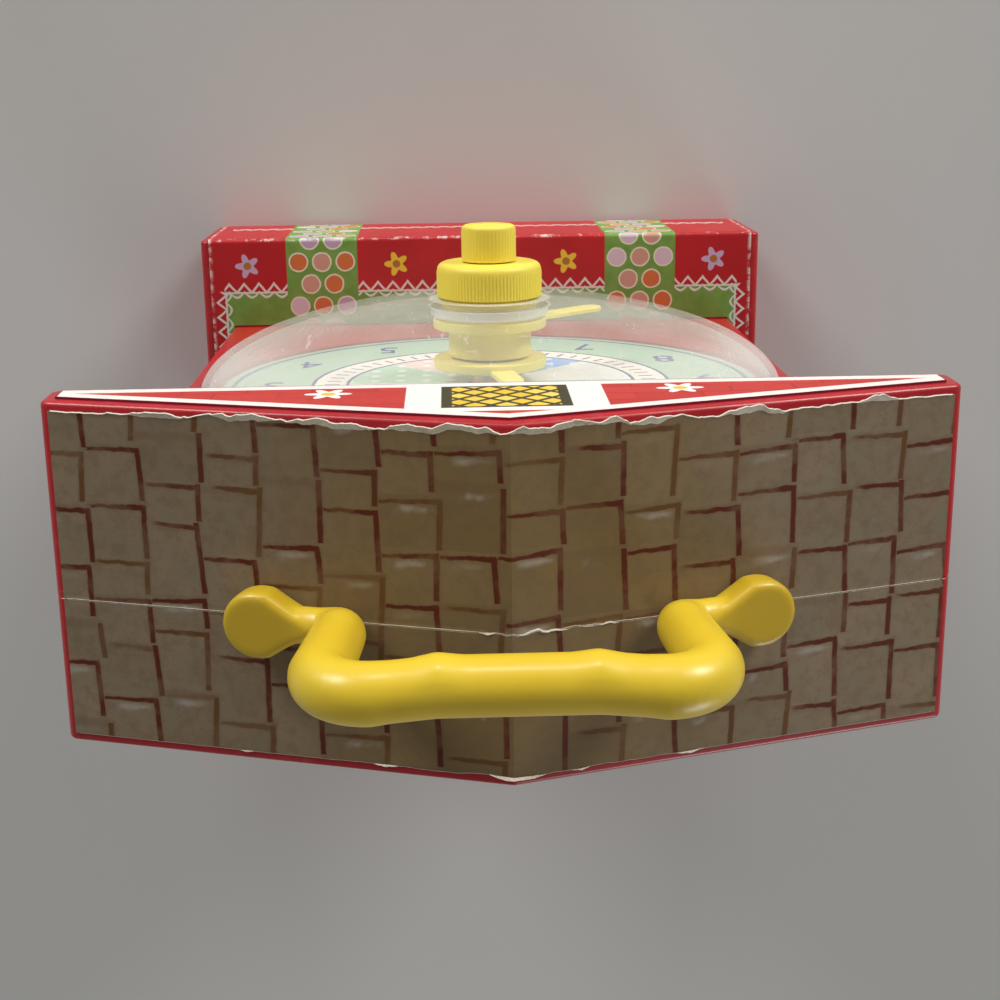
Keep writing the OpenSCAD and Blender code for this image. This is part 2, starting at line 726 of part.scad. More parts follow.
module motion_wheel() {
    bore = stud_d / 2 + run_fit;
    color(brass) {
        gear(motion_pinion_z, hour_m, motion_at, y_hour_wheel, wheel_t + run_gap, motion_phase, bore);
        gear(motion_z, motion_m, motion_at, y_motion, wheel_t, motion_phase, bore);
    }
}
module motion_stud() {
    color(steel) {
        y_rod(motion_at, y_hour_wheel - side_gap / 2, y_inside, stud_d / 2);
    }
}

module winding_knob() {
    color(yellow) difference() {
        on_dial(y_wind_back) ribbed_knob(wind_knob_d, wind_knob_h, wind_ribs);
        y_rod(dial, y_wind_back - arbor_in_knob, y_wind_back + 1, arbor_r + fix_fit);
    }
}
module winding_arbor() {
    color(steel) {
        y_rod(dial, y_wind_back - arbor_in_knob + run_fit, y_outside + arbor_proud, arbor_r);
        y_rod(dial, y_barrel + barrel_t + side_gap, y_barrel_end - barrel_t - side_gap, collet_d / 2);
    }
}
// Saw teeth with one steep flank each
module ratchet_wheel() {
    root = ratchet_d / 2 - ratchet_tooth;
    color(steel) translate([0, y_ratchet, dial_z]) rotate([-90, 0, 0]) difference() {
        linear_extrude(wheel_t) polygon([for (k = [0 : ratchet_z - 1]) each
            [polar(root, k * 360 / ratchet_z), polar(ratchet_d / 2, (k + 0.95) * 360 / ratchet_z)]]);
        translate([0, 0, -1]) cylinder(r = arbor_r + fix_fit, h = wheel_t + 2);
    }
}
// Leaf that rides on the ratchet, on a foot screwed to the back plate
click_t = 0.6;
click_foot = [10, 1, 6];
click_z = dial_z + ratchet_d / 2 + mould_fit * 2;
click_x = 12;
click_end = click_x + click_foot[0];
y_click = y_back_plate - click_foot[1];
click_hole = [click_x + click_foot[0] / 2, click_z + (click_foot[2] + click_t) / 2];
module click_spring() {
    color(steel) difference() {
        union() {
            block([-click_t, y_ratchet, click_z], [click_end, y_ratchet + wheel_t, click_z + click_t]);
            block([click_x, y_ratchet, click_z], [click_end, y_back_plate, click_z + click_t]);
            block([click_x, y_click, click_z], [click_end, y_back_plate, click_z + click_foot[2]]);
        }
        y_rod(click_hole, y_click - 1, y_back_plate + 1, comb_screw_d / 2 + fix_fit);
    }
}
module click_screw() {
    color(steel) {
        y_rod(click_hole, y_click - small_head_h, y_click, small_head_r);
        y_rod(click_hole, y_click - eps, y_outside, comb_screw_d / 2);
    }
}

barrel_in = barrel_d / 2 - barrel_t;
module spring_barrel() {
    color(brass) difference() {
        union() {
            gear(barrel_z, barrel_m, dial, y_barrel, barrel_tooth_t, 0, arbor_r + run_fit);
            y_rod(dial, y_barrel, y_barrel_end, barrel_d / 2);
        }
        y_rod(dial, y_barrel + barrel_t, y_barrel_end + 1, barrel_in);
        y_rod(dial, y_barrel - 1, y_barrel_end + 1, arbor_r + run_fit);
    }
}
module barrel_cover() {
    color(brass) difference() {
        y_rod(dial, y_barrel_end - barrel_t, y_barrel_end, barrel_in - fix_fit);
        y_rod(dial, y_barrel_end - barrel_t - 1, y_barrel_end + 1, arbor_r + run_fit);
    }
}
// Spiral strip between the collet and the barrel wall
spring_points = 24;
module mainspring() {
    r_first = collet_d / 2 + spring_t + mould_fit;
    r_last = barrel_in - spring_t - mould_fit;
    steps = spring_turns * spring_points;
    function spiral(i, off) =
        polar(r_first + (r_last - r_first) * i / steps + off, i * 360 / spring_points);
    y0 = y_barrel + barrel_t + side_gap;
    color([0.35, 0.38, 0.45]) translate([0, y0, dial_z]) rotate([-90, 0, 0])
        linear_extrude(barrel_h - 2 * barrel_t - 2 * side_gap) polygon(concat(
            [for (i = [0 : steps]) spiral(i, spring_t / 2)],
            [for (i = [steps : -1 : 0]) spiral(i, -spring_t / 2)]));
}

pin_r = comb_pitch / 3.2;
pins_per_row = 3;
golden_turn = 137.5;
module music_drum() {
    color(brass) difference() {
        union() {
            y_rod(drum_at, y_drum, y_drum + drum_l, drum_d / 2);
            for (row = [0 : comb_z - 1], k = [0 : pins_per_row - 1])
                translate([drum_at[0], y_drum + mould_fit + comb_pitch * (row + 0.5), drum_at[1]])
                    rotate([0, row * golden_turn + k * 360 / pins_per_row, 0])
                        translate([0, 0, drum_d / 2 - lap])
                            cylinder(r = pin_r, h = drum_pin_h + lap, $fn = 16);
        }
        y_rod(drum_at, y_drum - 1, y_drum + drum_l + 1, drum_arbor_d / 2 + fix_fit);
    }
}
module drum_arbor() {
    color(steel) y_rod(drum_at, y_front_plate - arbor_proud, y_outside + arbor_proud, drum_arbor_d / 2);
}
module drum_pinion() {
    color(brass) gear(drum_pinion_z, barrel_m, drum_at, y_barrel, barrel_tooth_t, drum_phase,
        drum_arbor_d / 2 + fix_fit);
}
module drum_wheel() {
    color(brass) gear(train_wheel_z, train_m, drum_at, y_drum_wheel, train_t, drum_phase,
        drum_arbor_d / 2 + fix_fit);
}

module comb() {
    x0 = comb_tip_x;
    x1 = comb_tip_x + tooth_l + comb_root;
    y0 = y_drum + mould_fit;
    color(steel) difference() {
        block([x0, y0, comb_bottom], [x1, y0 + comb_w, comb_bottom + comb_t]);
        for (i = [1 : comb_z - 1])
            translate([x0 - 1, y0 + i * comb_pitch - comb_slot / 2, comb_bottom - 1])
                cube([tooth_l + 1, comb_slot, comb_t + 2]);
        for (y = comb_screw_ys)
            translate([comb_screw_x, y, comb_bottom - 1])
                cylinder(d = comb_screw_d + 2 * fix_fit, h = comb_t + 2);
    }
}
module comb_bracket() {
    color([0.45, 0.46, 0.48]) difference() {
        block([comb_tip_x + tooth_l, y_inside, comb_bottom - bracket_h],
            [comb_tip_x + tooth_l + comb_root, y_drum + mould_fit + comb_w, comb_bottom]);
        for (y = comb_screw_ys)
            translate([comb_screw_x, y, comb_bottom - bracket_h * 0.7])
                cylinder(d = comb_screw_d + 2 * fix_fit, h = bracket_h);
    }
}
module comb_screws() {
    color(steel) for (y = comb_screw_ys) {
        translate([comb_screw_x, y, comb_bottom + comb_t]) cylinder(r = small_head_r, h = small_head_h);
        translate([comb_screw_x, y, comb_bottom - bracket_h * 0.6])
            cylinder(d = comb_screw_d, h = bracket_h * 0.6 + comb_t + eps);
    }
}

train_arbor_r = train_arbor_d / 2;
pinion_proud = run_gap / 3;
pinion_t = train_t + 2 * pinion_proud;
module idler_arbor() {
    color(steel) y_rod(idler_at, y_front_plate - arbor_proud, y_outside + arbor_proud, train_arbor_r);
}
module idler_pinion() {
    color(brass) gear(train_pinion_z, train_m, idler_at, y_drum_wheel - pinion_proud, pinion_t, idler_phase,
        train_arbor_r + fix_fit);
}
module idler_wheel() {
    color(brass) gear(train_wheel_z, train_m, idler_at, y_idler_wheel, train_t, idler_phase,
        train_arbor_r + fix_fit);
}
module governor_spindle() {
    color(steel) y_rod(governor_at, y_front_plate - arbor_proud, y_outside + arbor_proud, train_arbor_r);
}
module governor_pinion() {
    color(brass) gear(train_pinion_z, train_m, governor_at, y_idler_wheel - pinion_proud, pinion_t,
        governor_phase, train_arbor_r + fix_fit);
}
// Two vanes on a hub, which brake the train in the air
fan_hub_r = 3;
vane_t = 0.8;
module governor_fan() {
    y0 = y_drum + run_gap;
    y1 = y_drum_wheel - run_gap;
    color([0.30, 0.32, 0.35]) difference() {
        union() {
            y_rod(governor_at, y0, y1, fan_hub_r);
            block([governor_at[0] - fan_r, y0, governor_at[1] - vane_t / 2],
                [governor_at[0] + fan_r, y1, governor_at[1] + vane_t / 2]);
        }
        y_rod(governor_at, y0 - 1, y1 + 1, train_arbor_r + fix_fit);
    }
}

// Plate from depth y0, with the holes for pillars and arbors
module movement_plate(y0) {
    difference() {
        block([-plate_half_w, y0, dial_z - plate_down], [plate_half_w, y0 + plate_t, dial_z + plate_up]);
        for (at = pillar_ats)
            y_rod(at, y0 - 1, y0 + plate_t + 1, pillar_bore);
        y_rod(dial, y0 - 1, y0 + plate_t + 1, arbor_r + run_fit);
        y_rod(drum_at, y0 - 1, y0 + plate_t + 1, drum_arbor_d / 2 + run_fit);
        for (at = [idler_at, governor_at])
            y_rod(at, y0 - 1, y0 + plate_t + 1, train_arbor_r + run_fit);
    }
}
module front_plate() {
    color(steel) difference() {
        movement_plate(y_front_plate);
        y_rod(motion_at, y_front_plate - 1, y_inside + 1, stud_d / 2 + fix_fit);
    }
}
module back_plate() {
    color(steel) difference() {
        movement_plate(y_back_plate);
        y_rod(click_hole, y_back_plate - 1, y_outside + 1, comb_screw_d / 2 + fix_fit);
    }
}
module plate_pillars() {
    color(brass) for (at = pillar_ats) difference() {
        y_rod(at, y_inside, y_back_plate, pillar_d / 2);
        y_rod(at, y_inside - 1, y_back_plate + 1, pillar_bore);
    }
}
module movement_screws() {
    color(steel) for (at = pillar_ats) {
        y_rod(at, y_outside, y_outside + screw_head_h, screw_head_d / 2);
        y_rod(at, y_in + run_gap, y_outside + eps, screw_d / 2);
    }
}

front_shell();
rear_shell();
case_screws();
handle();
dome();
dial_card();
roof_label_front();
roof_label_rear();
pediment_label();
base_label();
side_label_left();
side_label_right();
setting_knob();
minute_hand();
cannon_pinion();
hour_hand();
hour_wheel();
motion_wheel();
motion_stud();
winding_knob();
winding_arbor();
ratchet_wheel();
click_spring();
click_screw();
spring_barrel();
barrel_cover();
mainspring();
music_drum();
drum_arbor();
drum_pinion();
drum_wheel();
comb();
comb_bracket();
comb_screws();
idler_arbor();
idler_pinion();
idler_wheel();
governor_spindle();
governor_pinion();
governor_fan();
front_plate();
back_plate();
plate_pillars();
movement_screws();
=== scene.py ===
import json
import math

import bmesh
import bpy
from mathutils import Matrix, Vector


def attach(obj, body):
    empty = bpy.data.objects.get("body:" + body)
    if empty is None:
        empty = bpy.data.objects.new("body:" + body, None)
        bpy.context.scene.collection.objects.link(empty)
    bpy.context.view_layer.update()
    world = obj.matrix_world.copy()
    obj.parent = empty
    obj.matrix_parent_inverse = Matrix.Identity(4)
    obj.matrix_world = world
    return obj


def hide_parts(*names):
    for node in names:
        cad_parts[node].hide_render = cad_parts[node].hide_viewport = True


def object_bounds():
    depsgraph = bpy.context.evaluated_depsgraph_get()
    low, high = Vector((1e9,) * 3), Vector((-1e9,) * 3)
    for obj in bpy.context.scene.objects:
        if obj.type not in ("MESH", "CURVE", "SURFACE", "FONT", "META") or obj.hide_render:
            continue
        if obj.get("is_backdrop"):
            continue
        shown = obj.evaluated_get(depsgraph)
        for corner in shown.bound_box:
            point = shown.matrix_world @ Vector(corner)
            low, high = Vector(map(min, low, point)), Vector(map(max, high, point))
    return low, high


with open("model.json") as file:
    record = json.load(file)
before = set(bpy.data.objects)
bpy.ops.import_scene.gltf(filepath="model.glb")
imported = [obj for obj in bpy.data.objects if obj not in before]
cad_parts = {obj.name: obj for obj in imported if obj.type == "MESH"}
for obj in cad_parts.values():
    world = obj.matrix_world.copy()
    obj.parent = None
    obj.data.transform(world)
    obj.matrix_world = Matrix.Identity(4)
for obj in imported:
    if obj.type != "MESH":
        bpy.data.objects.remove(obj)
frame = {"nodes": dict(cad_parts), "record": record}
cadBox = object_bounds()
mm = 0.001
tiny = 0.01  # millimetres, for telling places apart


# selecting and shaping, as by hand

def only(obj):
    if bpy.context.mode != "OBJECT":
        bpy.ops.object.mode_set(mode="OBJECT")
    bpy.ops.object.select_all(action="DESELECT")
    obj.select_set(True)
    bpy.context.view_layer.objects.active = obj


def edit(obj):
    only(obj)
    bpy.ops.object.mode_set(mode="EDIT")
    bpy.ops.mesh.select_all(action="DESELECT")


def leave():
    bpy.ops.object.mode_set(mode="OBJECT")


def pick(kind, test):  # selects the verts, edges or faces that pass the test
    modes = {"verts": "VERT", "edges": "EDGE", "faces": "FACE"}
    bpy.ops.mesh.select_mode(type=modes[kind])
    bpy.ops.mesh.select_all(action="DESELECT")
    mesh = bpy.context.edit_object.data
    cage = bmesh.from_edit_mesh(mesh)
    cage.normal_update()
    for part in getattr(cage, kind):
        if test(part):
            part.select_set(True)
    cage.select_flush_mode()
    bmesh.update_edit_mesh(mesh)


def pickAll():
    bpy.ops.mesh.select_all(action="SELECT")


def push(x=0, y=0, z=0):  # extrudes what is selected, millimetres
    bpy.ops.mesh.extrude_region_move(TRANSFORM_OT_translate={"value": (x * mm, y * mm, z * mm)})


def shift(x=0, y=0, z=0):
    bpy.ops.transform.translate(value=(x * mm, y * mm, z * mm))


def stretch(factors, centre):
    bpy.ops.transform.resize(value=factors, center_override=Vector(centre) * mm)


def spin(angle, steps, centre):  # about the y axis
    bpy.ops.mesh.spin(steps=steps, angle=-angle, center=Vector(centre) * mm, axis=(0, 1, 0))


def modify(obj, kind, **settings):
    made = obj.modifiers.new(kind.lower(), kind)
    for key, value in settings.items():
        setattr(made, key, value)
    only(obj)
    bpy.ops.object.modifier_apply(modifier=made.name)


def settle(obj):  # puts the object's place into its mesh
    only(obj)
    bpy.ops.object.transform_apply(location=True, rotation=True, scale=True)


def smooth(obj, angle=35):
    only(obj)
    bpy.ops.object.shade_smooth_by_angle(angle=math.radians(angle))


def outward(obj):
    edit(obj)
    pickAll()
    bpy.ops.mesh.normals_make_consistent(inside=False)
    leave()


def circle(name, count, r, place, turn):  # an open ring to draw a piece out from
    only(camera)
    bpy.ops.mesh.primitive_circle_add(vertices=count, radius=r * mm, fill_type="NOTHING",
                                      location=place, rotation=turn)
    obj = bpy.context.active_object
    obj.name = name
    settle(obj)
    return obj


def join(first, *rest):
    only(first)
    for obj in rest:
        obj.select_set(True)
    bpy.ops.object.join()
    return first


def dress(obj, finish, body, slot, *nodes):
    if finish:
        obj.data.materials.clear()
        obj.data.materials.append(finish)
    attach(obj, body)
    if nodes:
        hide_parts(*nodes)


merging = dict(gap=2e-6, flat=0.4)  # metres, degrees


def copyOf(node, name):  # a merged copy of a CAD piece, to be shaped further
    obj = bpy.data.objects.new(name, frame["nodes"][node].data.copy())
    bpy.context.collection.objects.link(obj)
    edit(obj)
    pickAll()
    bpy.ops.mesh.remove_doubles(threshold=merging["gap"])
    bpy.ops.mesh.customdata_custom_splitnormals_clear()
    pickAll()
    bpy.ops.mesh.dissolve_limited(angle_limit=math.radians(merging["flat"]))
    leave()
    return obj


def bent(edge, least=50):  # true for an edge whose two faces turn by more than the angle
    return len(edge.link_faces) == 2 and edge.calc_face_angle(0) > math.radians(least)


def near(edge, axis, level, slack=0.02):
    return all(abs(v.co[axis] / mm - level) < slack for v in edge.verts)


def roundEdges(obj, test, width, segments):
    edit(obj)
    pick("edges", test)
    bpy.ops.mesh.bevel(offset=width * mm, segments=segments, affect="EDGES",
                       clamp_overlap=True, loop_slide=False)
    leave()


# shader sockets with arithmetic, and the finishes made of them

def applied(operation, swapped=False):  # an operator between two sockets or numbers
    def apply(self, other):
        return self.math(operation, *((other, self) if swapped else (self, other)))
    return apply


class Wire:
    __add__ = __radd__ = applied("ADD")
    __mul__ = __rmul__ = applied("MULTIPLY")
    __sub__, __rsub__ = applied("SUBTRACT"), applied("SUBTRACT", True)
    __truediv__, __rtruediv__ = applied("DIVIDE"), applied("DIVIDE", True)
    __mod__, __and__, __or__ = applied("FLOORED_MODULO"), applied("MINIMUM"), applied("MAXIMUM")
    __lt__, __gt__ = applied("LESS_THAN"), applied("GREATER_THAN")

    def __init__(self, finish, socket):
        self.finish, self.socket = finish, socket

    def math(self, operation, *values):
        return self.finish.node("ShaderNodeMath", {"operation": operation}, list(values))

    def __abs__(self):
        return self.math("ABSOLUTE", self)

    def __floor__(self):
        return self.math("FLOOR", self)

    def step(self, low, high):  # 0 at low, 1 at high, soft between
        return self.finish.node("ShaderNodeMapRange", {"interpolation_type": "SMOOTHSTEP"},
                                {"Value": self, "From Min": low, "From Max": high})


class Finish:
    def __init__(self, name, **sockets):
        self.material = bpy.data.materials.new(name)
        self.material.use_nodes = True
        self.tree = self.material.node_tree
        self.shader = self.tree.nodes["Principled BSDF"]
        for key, value in sockets.items():
            self.shader.inputs[key.replace("_", " ")].default_value = value
        spot = self.node("ShaderNodeTexCoord", out="Object")
        self.point = self.node("ShaderNodeVectorMath", {"operation": "SCALE"},
                               {0: spot, "Scale": 1 / mm})  # millimetres

    def node(self, kind, settings={}, inputs={}, out=0):
        made = self.tree.nodes.new(kind)
        for key, value in settings.items():
            if key == "stops":
                ramp = made.color_ramp
                while len(ramp.elements) < len(value):
                    ramp.elements.new(1)
                for stop, (place, colour) in zip(ramp.elements, value):
                    stop.position, stop.color = place, (*colour, 1)
            elif key == "ramp":
                made.color_ramp.interpolation = value
            else:
                setattr(made, key, value)
        for key, value in enumerate(inputs) if isinstance(inputs, list) else inputs.items():
            if isinstance(value, Wire):
                self.tree.links.new(value.socket, made.inputs[key])
            else:
                made.inputs[key].default_value = value
        return Wire(self, made.outputs[out])

    def axes(self):
        split = self.tree.nodes.new("ShaderNodeSeparateXYZ")
        self.tree.links.new(self.point.socket, split.inputs[0])
        return [Wire(self, socket) for socket in split.outputs]

    def spread(self, x, y, z):  # the place with its axes scaled
        return self.node("ShaderNodeVectorMath", {"operation": "MULTIPLY"}, {0: self.point, 1: (x, y, z)})

    def noise(self, scale, detail=2, rough=0.5, point=None):
        return self.node("ShaderNodeTexNoise", {}, {
            "Vector": point or self.point, "Scale": scale, "Detail": detail, "Roughness": rough})

    def chance(self, a, b):  # a steady random number for each pair of whole numbers
        pair = self.node("ShaderNodeCombineXYZ", {}, [a, b, 0])
        return self.node("ShaderNodeTexWhiteNoise", {"noise_dimensions": "2D"}, {"Vector": pair})

    def mix(self, share, a, b):
        a, b = [value if isinstance(value, Wire) else (*value, 1) for value in (a, b)]
        return self.node("ShaderNodeMix", {"data_type": "RGBA"}, {0: share, 6: a, 7: b}, out=2)

    def feed(self, **wires):
        for key, wire in wires.items():
            self.tree.links.new(wire.socket, self.shader.inputs[key.replace("_", " ")])

    def bump(self, height, depth, strength=1.0):  # depth in millimetres
        self.feed(Normal=self.node("ShaderNodeBump", {}, {
            "Height": height, "Distance": depth * mm, "Strength": strength}))


def radius(a, b):
    square = a * a + b * b
    return square.math("SQRT", square)


# camera, floor and light

view = dict(place=(8.82, -83.15, 491.44), turn=(-15.553, -1.874, 179.286), lens=57.3, sensor=36,
            clip=(0.01, 20))
bpy.ops.object.camera_add(location=Vector(view["place"]) * mm,
                          rotation=[math.radians(a) for a in view["turn"]])
camera = bpy.context.active_object
camera.data.lens, camera.data.sensor_width = view["lens"], view["sensor"]
camera.data.clip_start, camera.data.clip_end = view["clip"]
bpy.context.scene.camera = camera

lamps = {  # place in metres, size, watts, colour
    "frontLeft": ((-8.1, -9.9, 2.0), 4.5, 137, (1.0, 0.985, 0.96)),
    "frontRight": ((7.5, -10.2, 2.0), 4.5, 119, (1.0, 0.985, 0.96)),
    "frontStrip": ((0.0, -10.8, 1.4), 1.8, 23.5, (1.0, 0.99, 0.97)),
    "backFill": ((-9.6, 14.7, 2.4), 7.5, 117, (0.99, 0.99, 1.0)),
}
studio = dict(aim=(0, 0, 0.13), grid=60, sky=(0.62, 0.62, 0.60), skyStrength=0.34,
              floor=(0.74, 0.745, 0.73), floorSize=60, mottle=(0.004, 1), mottleDark=0.97)
for name, (place, size, watts, colour) in lamps.items():
    bpy.ops.object.light_add(type="AREA", location=place)
    lamp = bpy.context.active_object
    lamp.name = name
    lamp.data.size, lamp.data.energy, lamp.data.color = size, watts, colour
    lamp.data.spread = math.radians(studio["grid"])  # keeps the floor beside the lamp dark
    aim = Vector(studio["aim"]) - Vector(place)
    lamp.rotation_euler = aim.to_track_quat("-Z", "Y").to_euler()

world = bpy.data.worlds.new("studio")
bpy.context.scene.world = world
world.use_nodes = True
world.node_tree.nodes["Background"].inputs["Color"].default_value = (*studio["sky"], 1)
world.node_tree.nodes["Background"].inputs["Strength"].default_value = studio["skyStrength"]
bpy.context.scene.view_settings.view_transform = "Standard"

only(camera)
bpy.ops.mesh.primitive_plane_add(size=studio["floorSize"])
floor = bpy.context.active_object
floor.name = "floor"
floorFinish = Finish("floorPaint", Roughness=0.9, Specular_IOR_Level=0.05)
floorFinish.feed(Base_Color=floorFinish.mix(floorFinish.noise(*studio["mottle"]), studio["floor"],
                                            [c * studio["mottleDark"] for c in studio["floor"]]))
floor.data.materials.append(floorFinish.material)
floor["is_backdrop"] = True
print("studio ready")


# sizes that several pieces share, millimetres

case = dict(backY=34.15, baseY=-34.15, roofY=-27.85, wallY=-9.85, seamY=7.15, halfW=79, waistHalf=70,
            shelfZ=39, soffitZ=215.5, eaveZ=225, ridgeZ=249, dialZ=127.25, labelRim=2.4, labelT=0.4)
slope = math.atan2(case["ridgeZ"] - case["eaveZ"], case["halfW"])


# finishes: a noise takes scale, detail and roughness, a step the values where it is 0 and 1

plastics = {  # colour, darker colour, roughness, scuffs, bump in millimetres, coat, its roughness
    "redPlastic": ((0.46, 0.010, 0.016), (0.40, 0.008, 0.013), 0.33, 0.16, 0.012, 0.1, 0.12),
    "yellowPlastic": ((0.78, 0.562, 0.029), (0.74, 0.505, 0.022), 0.36, 0.03, 0.0008, 0.2, 0.22),
    "knobPlastic": ((0.96, 0.785, 0.095), (0.93, 0.74, 0.080), 0.46, 0.05, 0.004, 0, 0.12),
    "handPlastic": ((0.88, 0.76, 0.130), (0.84, 0.71, 0.110), 0.40, 0.05, 0.003, 0.1, 0.12),
    "darkPlastic": ((0.030, 0.030, 0.034), (0.022, 0.022, 0.026), 0.45, 0.1, 0.02, 0.25, 0.12),
}
paintedShade = {"yellowPlastic": {"from": (32.5, 38.5), "colour": (0.61, 0.405, 0.017)}}  # painted shade darkening the handle's feet
# pale scratches and rubs are wear; the last two darken the handle's feet as painted shade
plasticWearAndShade = dict(scratchPale=0.5, rubPale=0.35, shadeLeast=0.75, shadeMore=0.5)


def plasticFinish(name):
    colour, dark, rough, scuff, bump, coat, coatRough = plastics[name]
    wearAndShade = plasticWearAndShade
    made = Finish(name, IOR=1.5, Coat_Weight=coat, Coat_Roughness=coatRough)
    cloud, grain = made.noise(0.05, 3), made.noise(2.2, 2)
    scratch = made.noise(0.35, 4, 0.7, made.spread(0.25, 6, 1)).step(0.62, 0.70)
    rub = made.noise(0.22, 5, 0.65).step(0.56, 0.74)
    pale = [0.5 + 0.5 * c for c in colour]
    tint = made.mix(cloud.step(0.3, 0.7), colour, dark)
    tint = made.mix((scratch * wearAndShade["scratchPale"] | rub * wearAndShade["rubPale"]) * scuff, tint, pale)
    if name in paintedShade:  # painted shade on the handle's feet, beyond a distance from the middle
        far = abs(made.axes()[0]).step(*paintedShade[name]["from"])
        tint = made.mix(far * (wearAndShade["shadeLeast"] + cloud * wearAndShade["shadeMore"]), tint, paintedShade[name]["colour"])
    made.feed(Base_Color=tint, Roughness=rough + rub * 0.12 + grain * 0.05 + scratch * 0.08)
    made.bump(grain * 0.6 + cloud * 0.4, bump)
    return made.material


redPlastic, yellowPlastic, knobPlastic, handPlastic, darkPlastic = map(plasticFinish, plastics)

clearHides = dict(wall=0.05, edgeOn=0.11, rim=0.10, rimEdgeOn=0.40, collar=0.46, smear=0.07, scratch=0.22,
                  fog=0.05)  # how much each adds to the alpha; the collar's share whitens it as painted light, for light refracted through it


def clearFinish():
    hides = clearHides
    made = Finish("clearPlastic", Base_Color=(0.85, 0.86, 0.81, 1), IOR=1.45)
    x, y, z = made.axes()
    reach = radius(x, z - case["dialZ"])
    # rim: whiter towards the dome's edge, a painted sheen of its steeply sloping wall
    rim, collar = reach.step(44, 66), reach.step(14.6, 13.4)
    smear, fog = made.noise(0.045, 4, 0.6), made.noise(0.5, 4, 0.7)
    scratch = made.noise(0.20, 3, 0.75, made.spread(3.2, 1, 0.35)).step(0.66, 0.70)
    scrape = made.noise(0.16, 3, 0.75, made.spread(0.3, 1, 2.4)).step(0.68, 0.71)
    facing = made.node("ShaderNodeLayerWeight", {}, {"Blend": 0.5}, out="Facing")  # hazier edge-on
    haze = facing * facing
    # the collar's term is painted light: it makes the collar whiter where the knob shades it
    made.feed(Alpha=hides["wall"] + haze * hides["edgeOn"]
              + rim * (hides["rim"] + haze * hides["rimEdgeOn"]) + collar * hides["collar"]
              + smear.step(0.35, 0.75) * hides["smear"] + (scratch | scrape) * hides["scratch"]
              + fog.step(0.62, 0.8) * hides["fog"],
              Roughness=0.20 + smear.step(0.4, 0.7) * 0.14 + fog * 0.05)
    made.bump(smear, 0.05)
    return made.material


clearPlastic = clearFinish()

metals = {  # colour, roughness, how close the grain is along each axis
    "steel": ((0.55, 0.56, 0.58), 0.26, (0.2, 1, 3)),
    "brass": ((0.70, 0.52, 0.22), 0.24, (1, 0.2, 1)),
    "castBracket": ((0.30, 0.31, 0.33), 0.48, (1, 1, 1)),
}
spotDark = 0.82


def metalFinish(name):
    colour, rough, along = metals[name]
    made = Finish(name, Metallic=1.0)
    grain, spots = made.noise(1.5, 3, 0.6, made.spread(*along)), made.noise(0.12, 4)
    made.feed(Base_Color=made.mix(spots.step(0.35, 0.75), colour, [c * spotDark for c in colour]),
              Roughness=rough + grain * 0.16 + spots * 0.08)
    made.bump(grain, 0.012)
    return made.material


steel, brass, castBracket = map(metalFinish, metals)


def paperGrain(made):  # fibres and a soft sheet unevenness
    fibre, sheet = made.noise(1.6, 4, 0.65, made.spread(1, 1.6, 1)), made.noise(0.06, 3)
    made.bump(fibre * 0.35 + sheet * 0.65, 0.10, 0.6)
    return fibre, sheet


roofPrint = dict(  # tiles in columns down the slope, each with an upright stroke and a joint
    columnW=10.4, tileL=9.6, uneven=0.55, columnShift=7, start=1.2, startMore=1.6, lean=0.16,
    upright=(0.64, 0.36), ownFrom=-0.62, jointAt=1.0, jointLean=0.12, jointTaper=0.022,
    jointEnd=(8.5, 6.5), jointMore=5, markAt=2.3)
# what tints the paper, in turn, and how much
roofLayers = dict(olive=0.6, rosy=0.5, warm=0.8, mottle=0.45, stain=0.30, mark=0.55, fibre=0.14)
roofInks = dict(paper=(0.255, 0.186, 0.116), paperPale=(0.302, 0.219, 0.141), olive=(0.235, 0.200, 0.132),
                rosy=(0.330, 0.215, 0.140), warm=(0.190, 0.118, 0.034), warmPale=(0.235, 0.155, 0.052),
                mottle=(0.165, 0.118, 0.068), stain=(0.19, 0.105, 0.055), mark=(0.48, 0.44, 0.40),
                fibre=(0.19, 0.145, 0.095), red=(0.104, 0.014, 0.003), brown=(0.140, 0.062, 0.017))


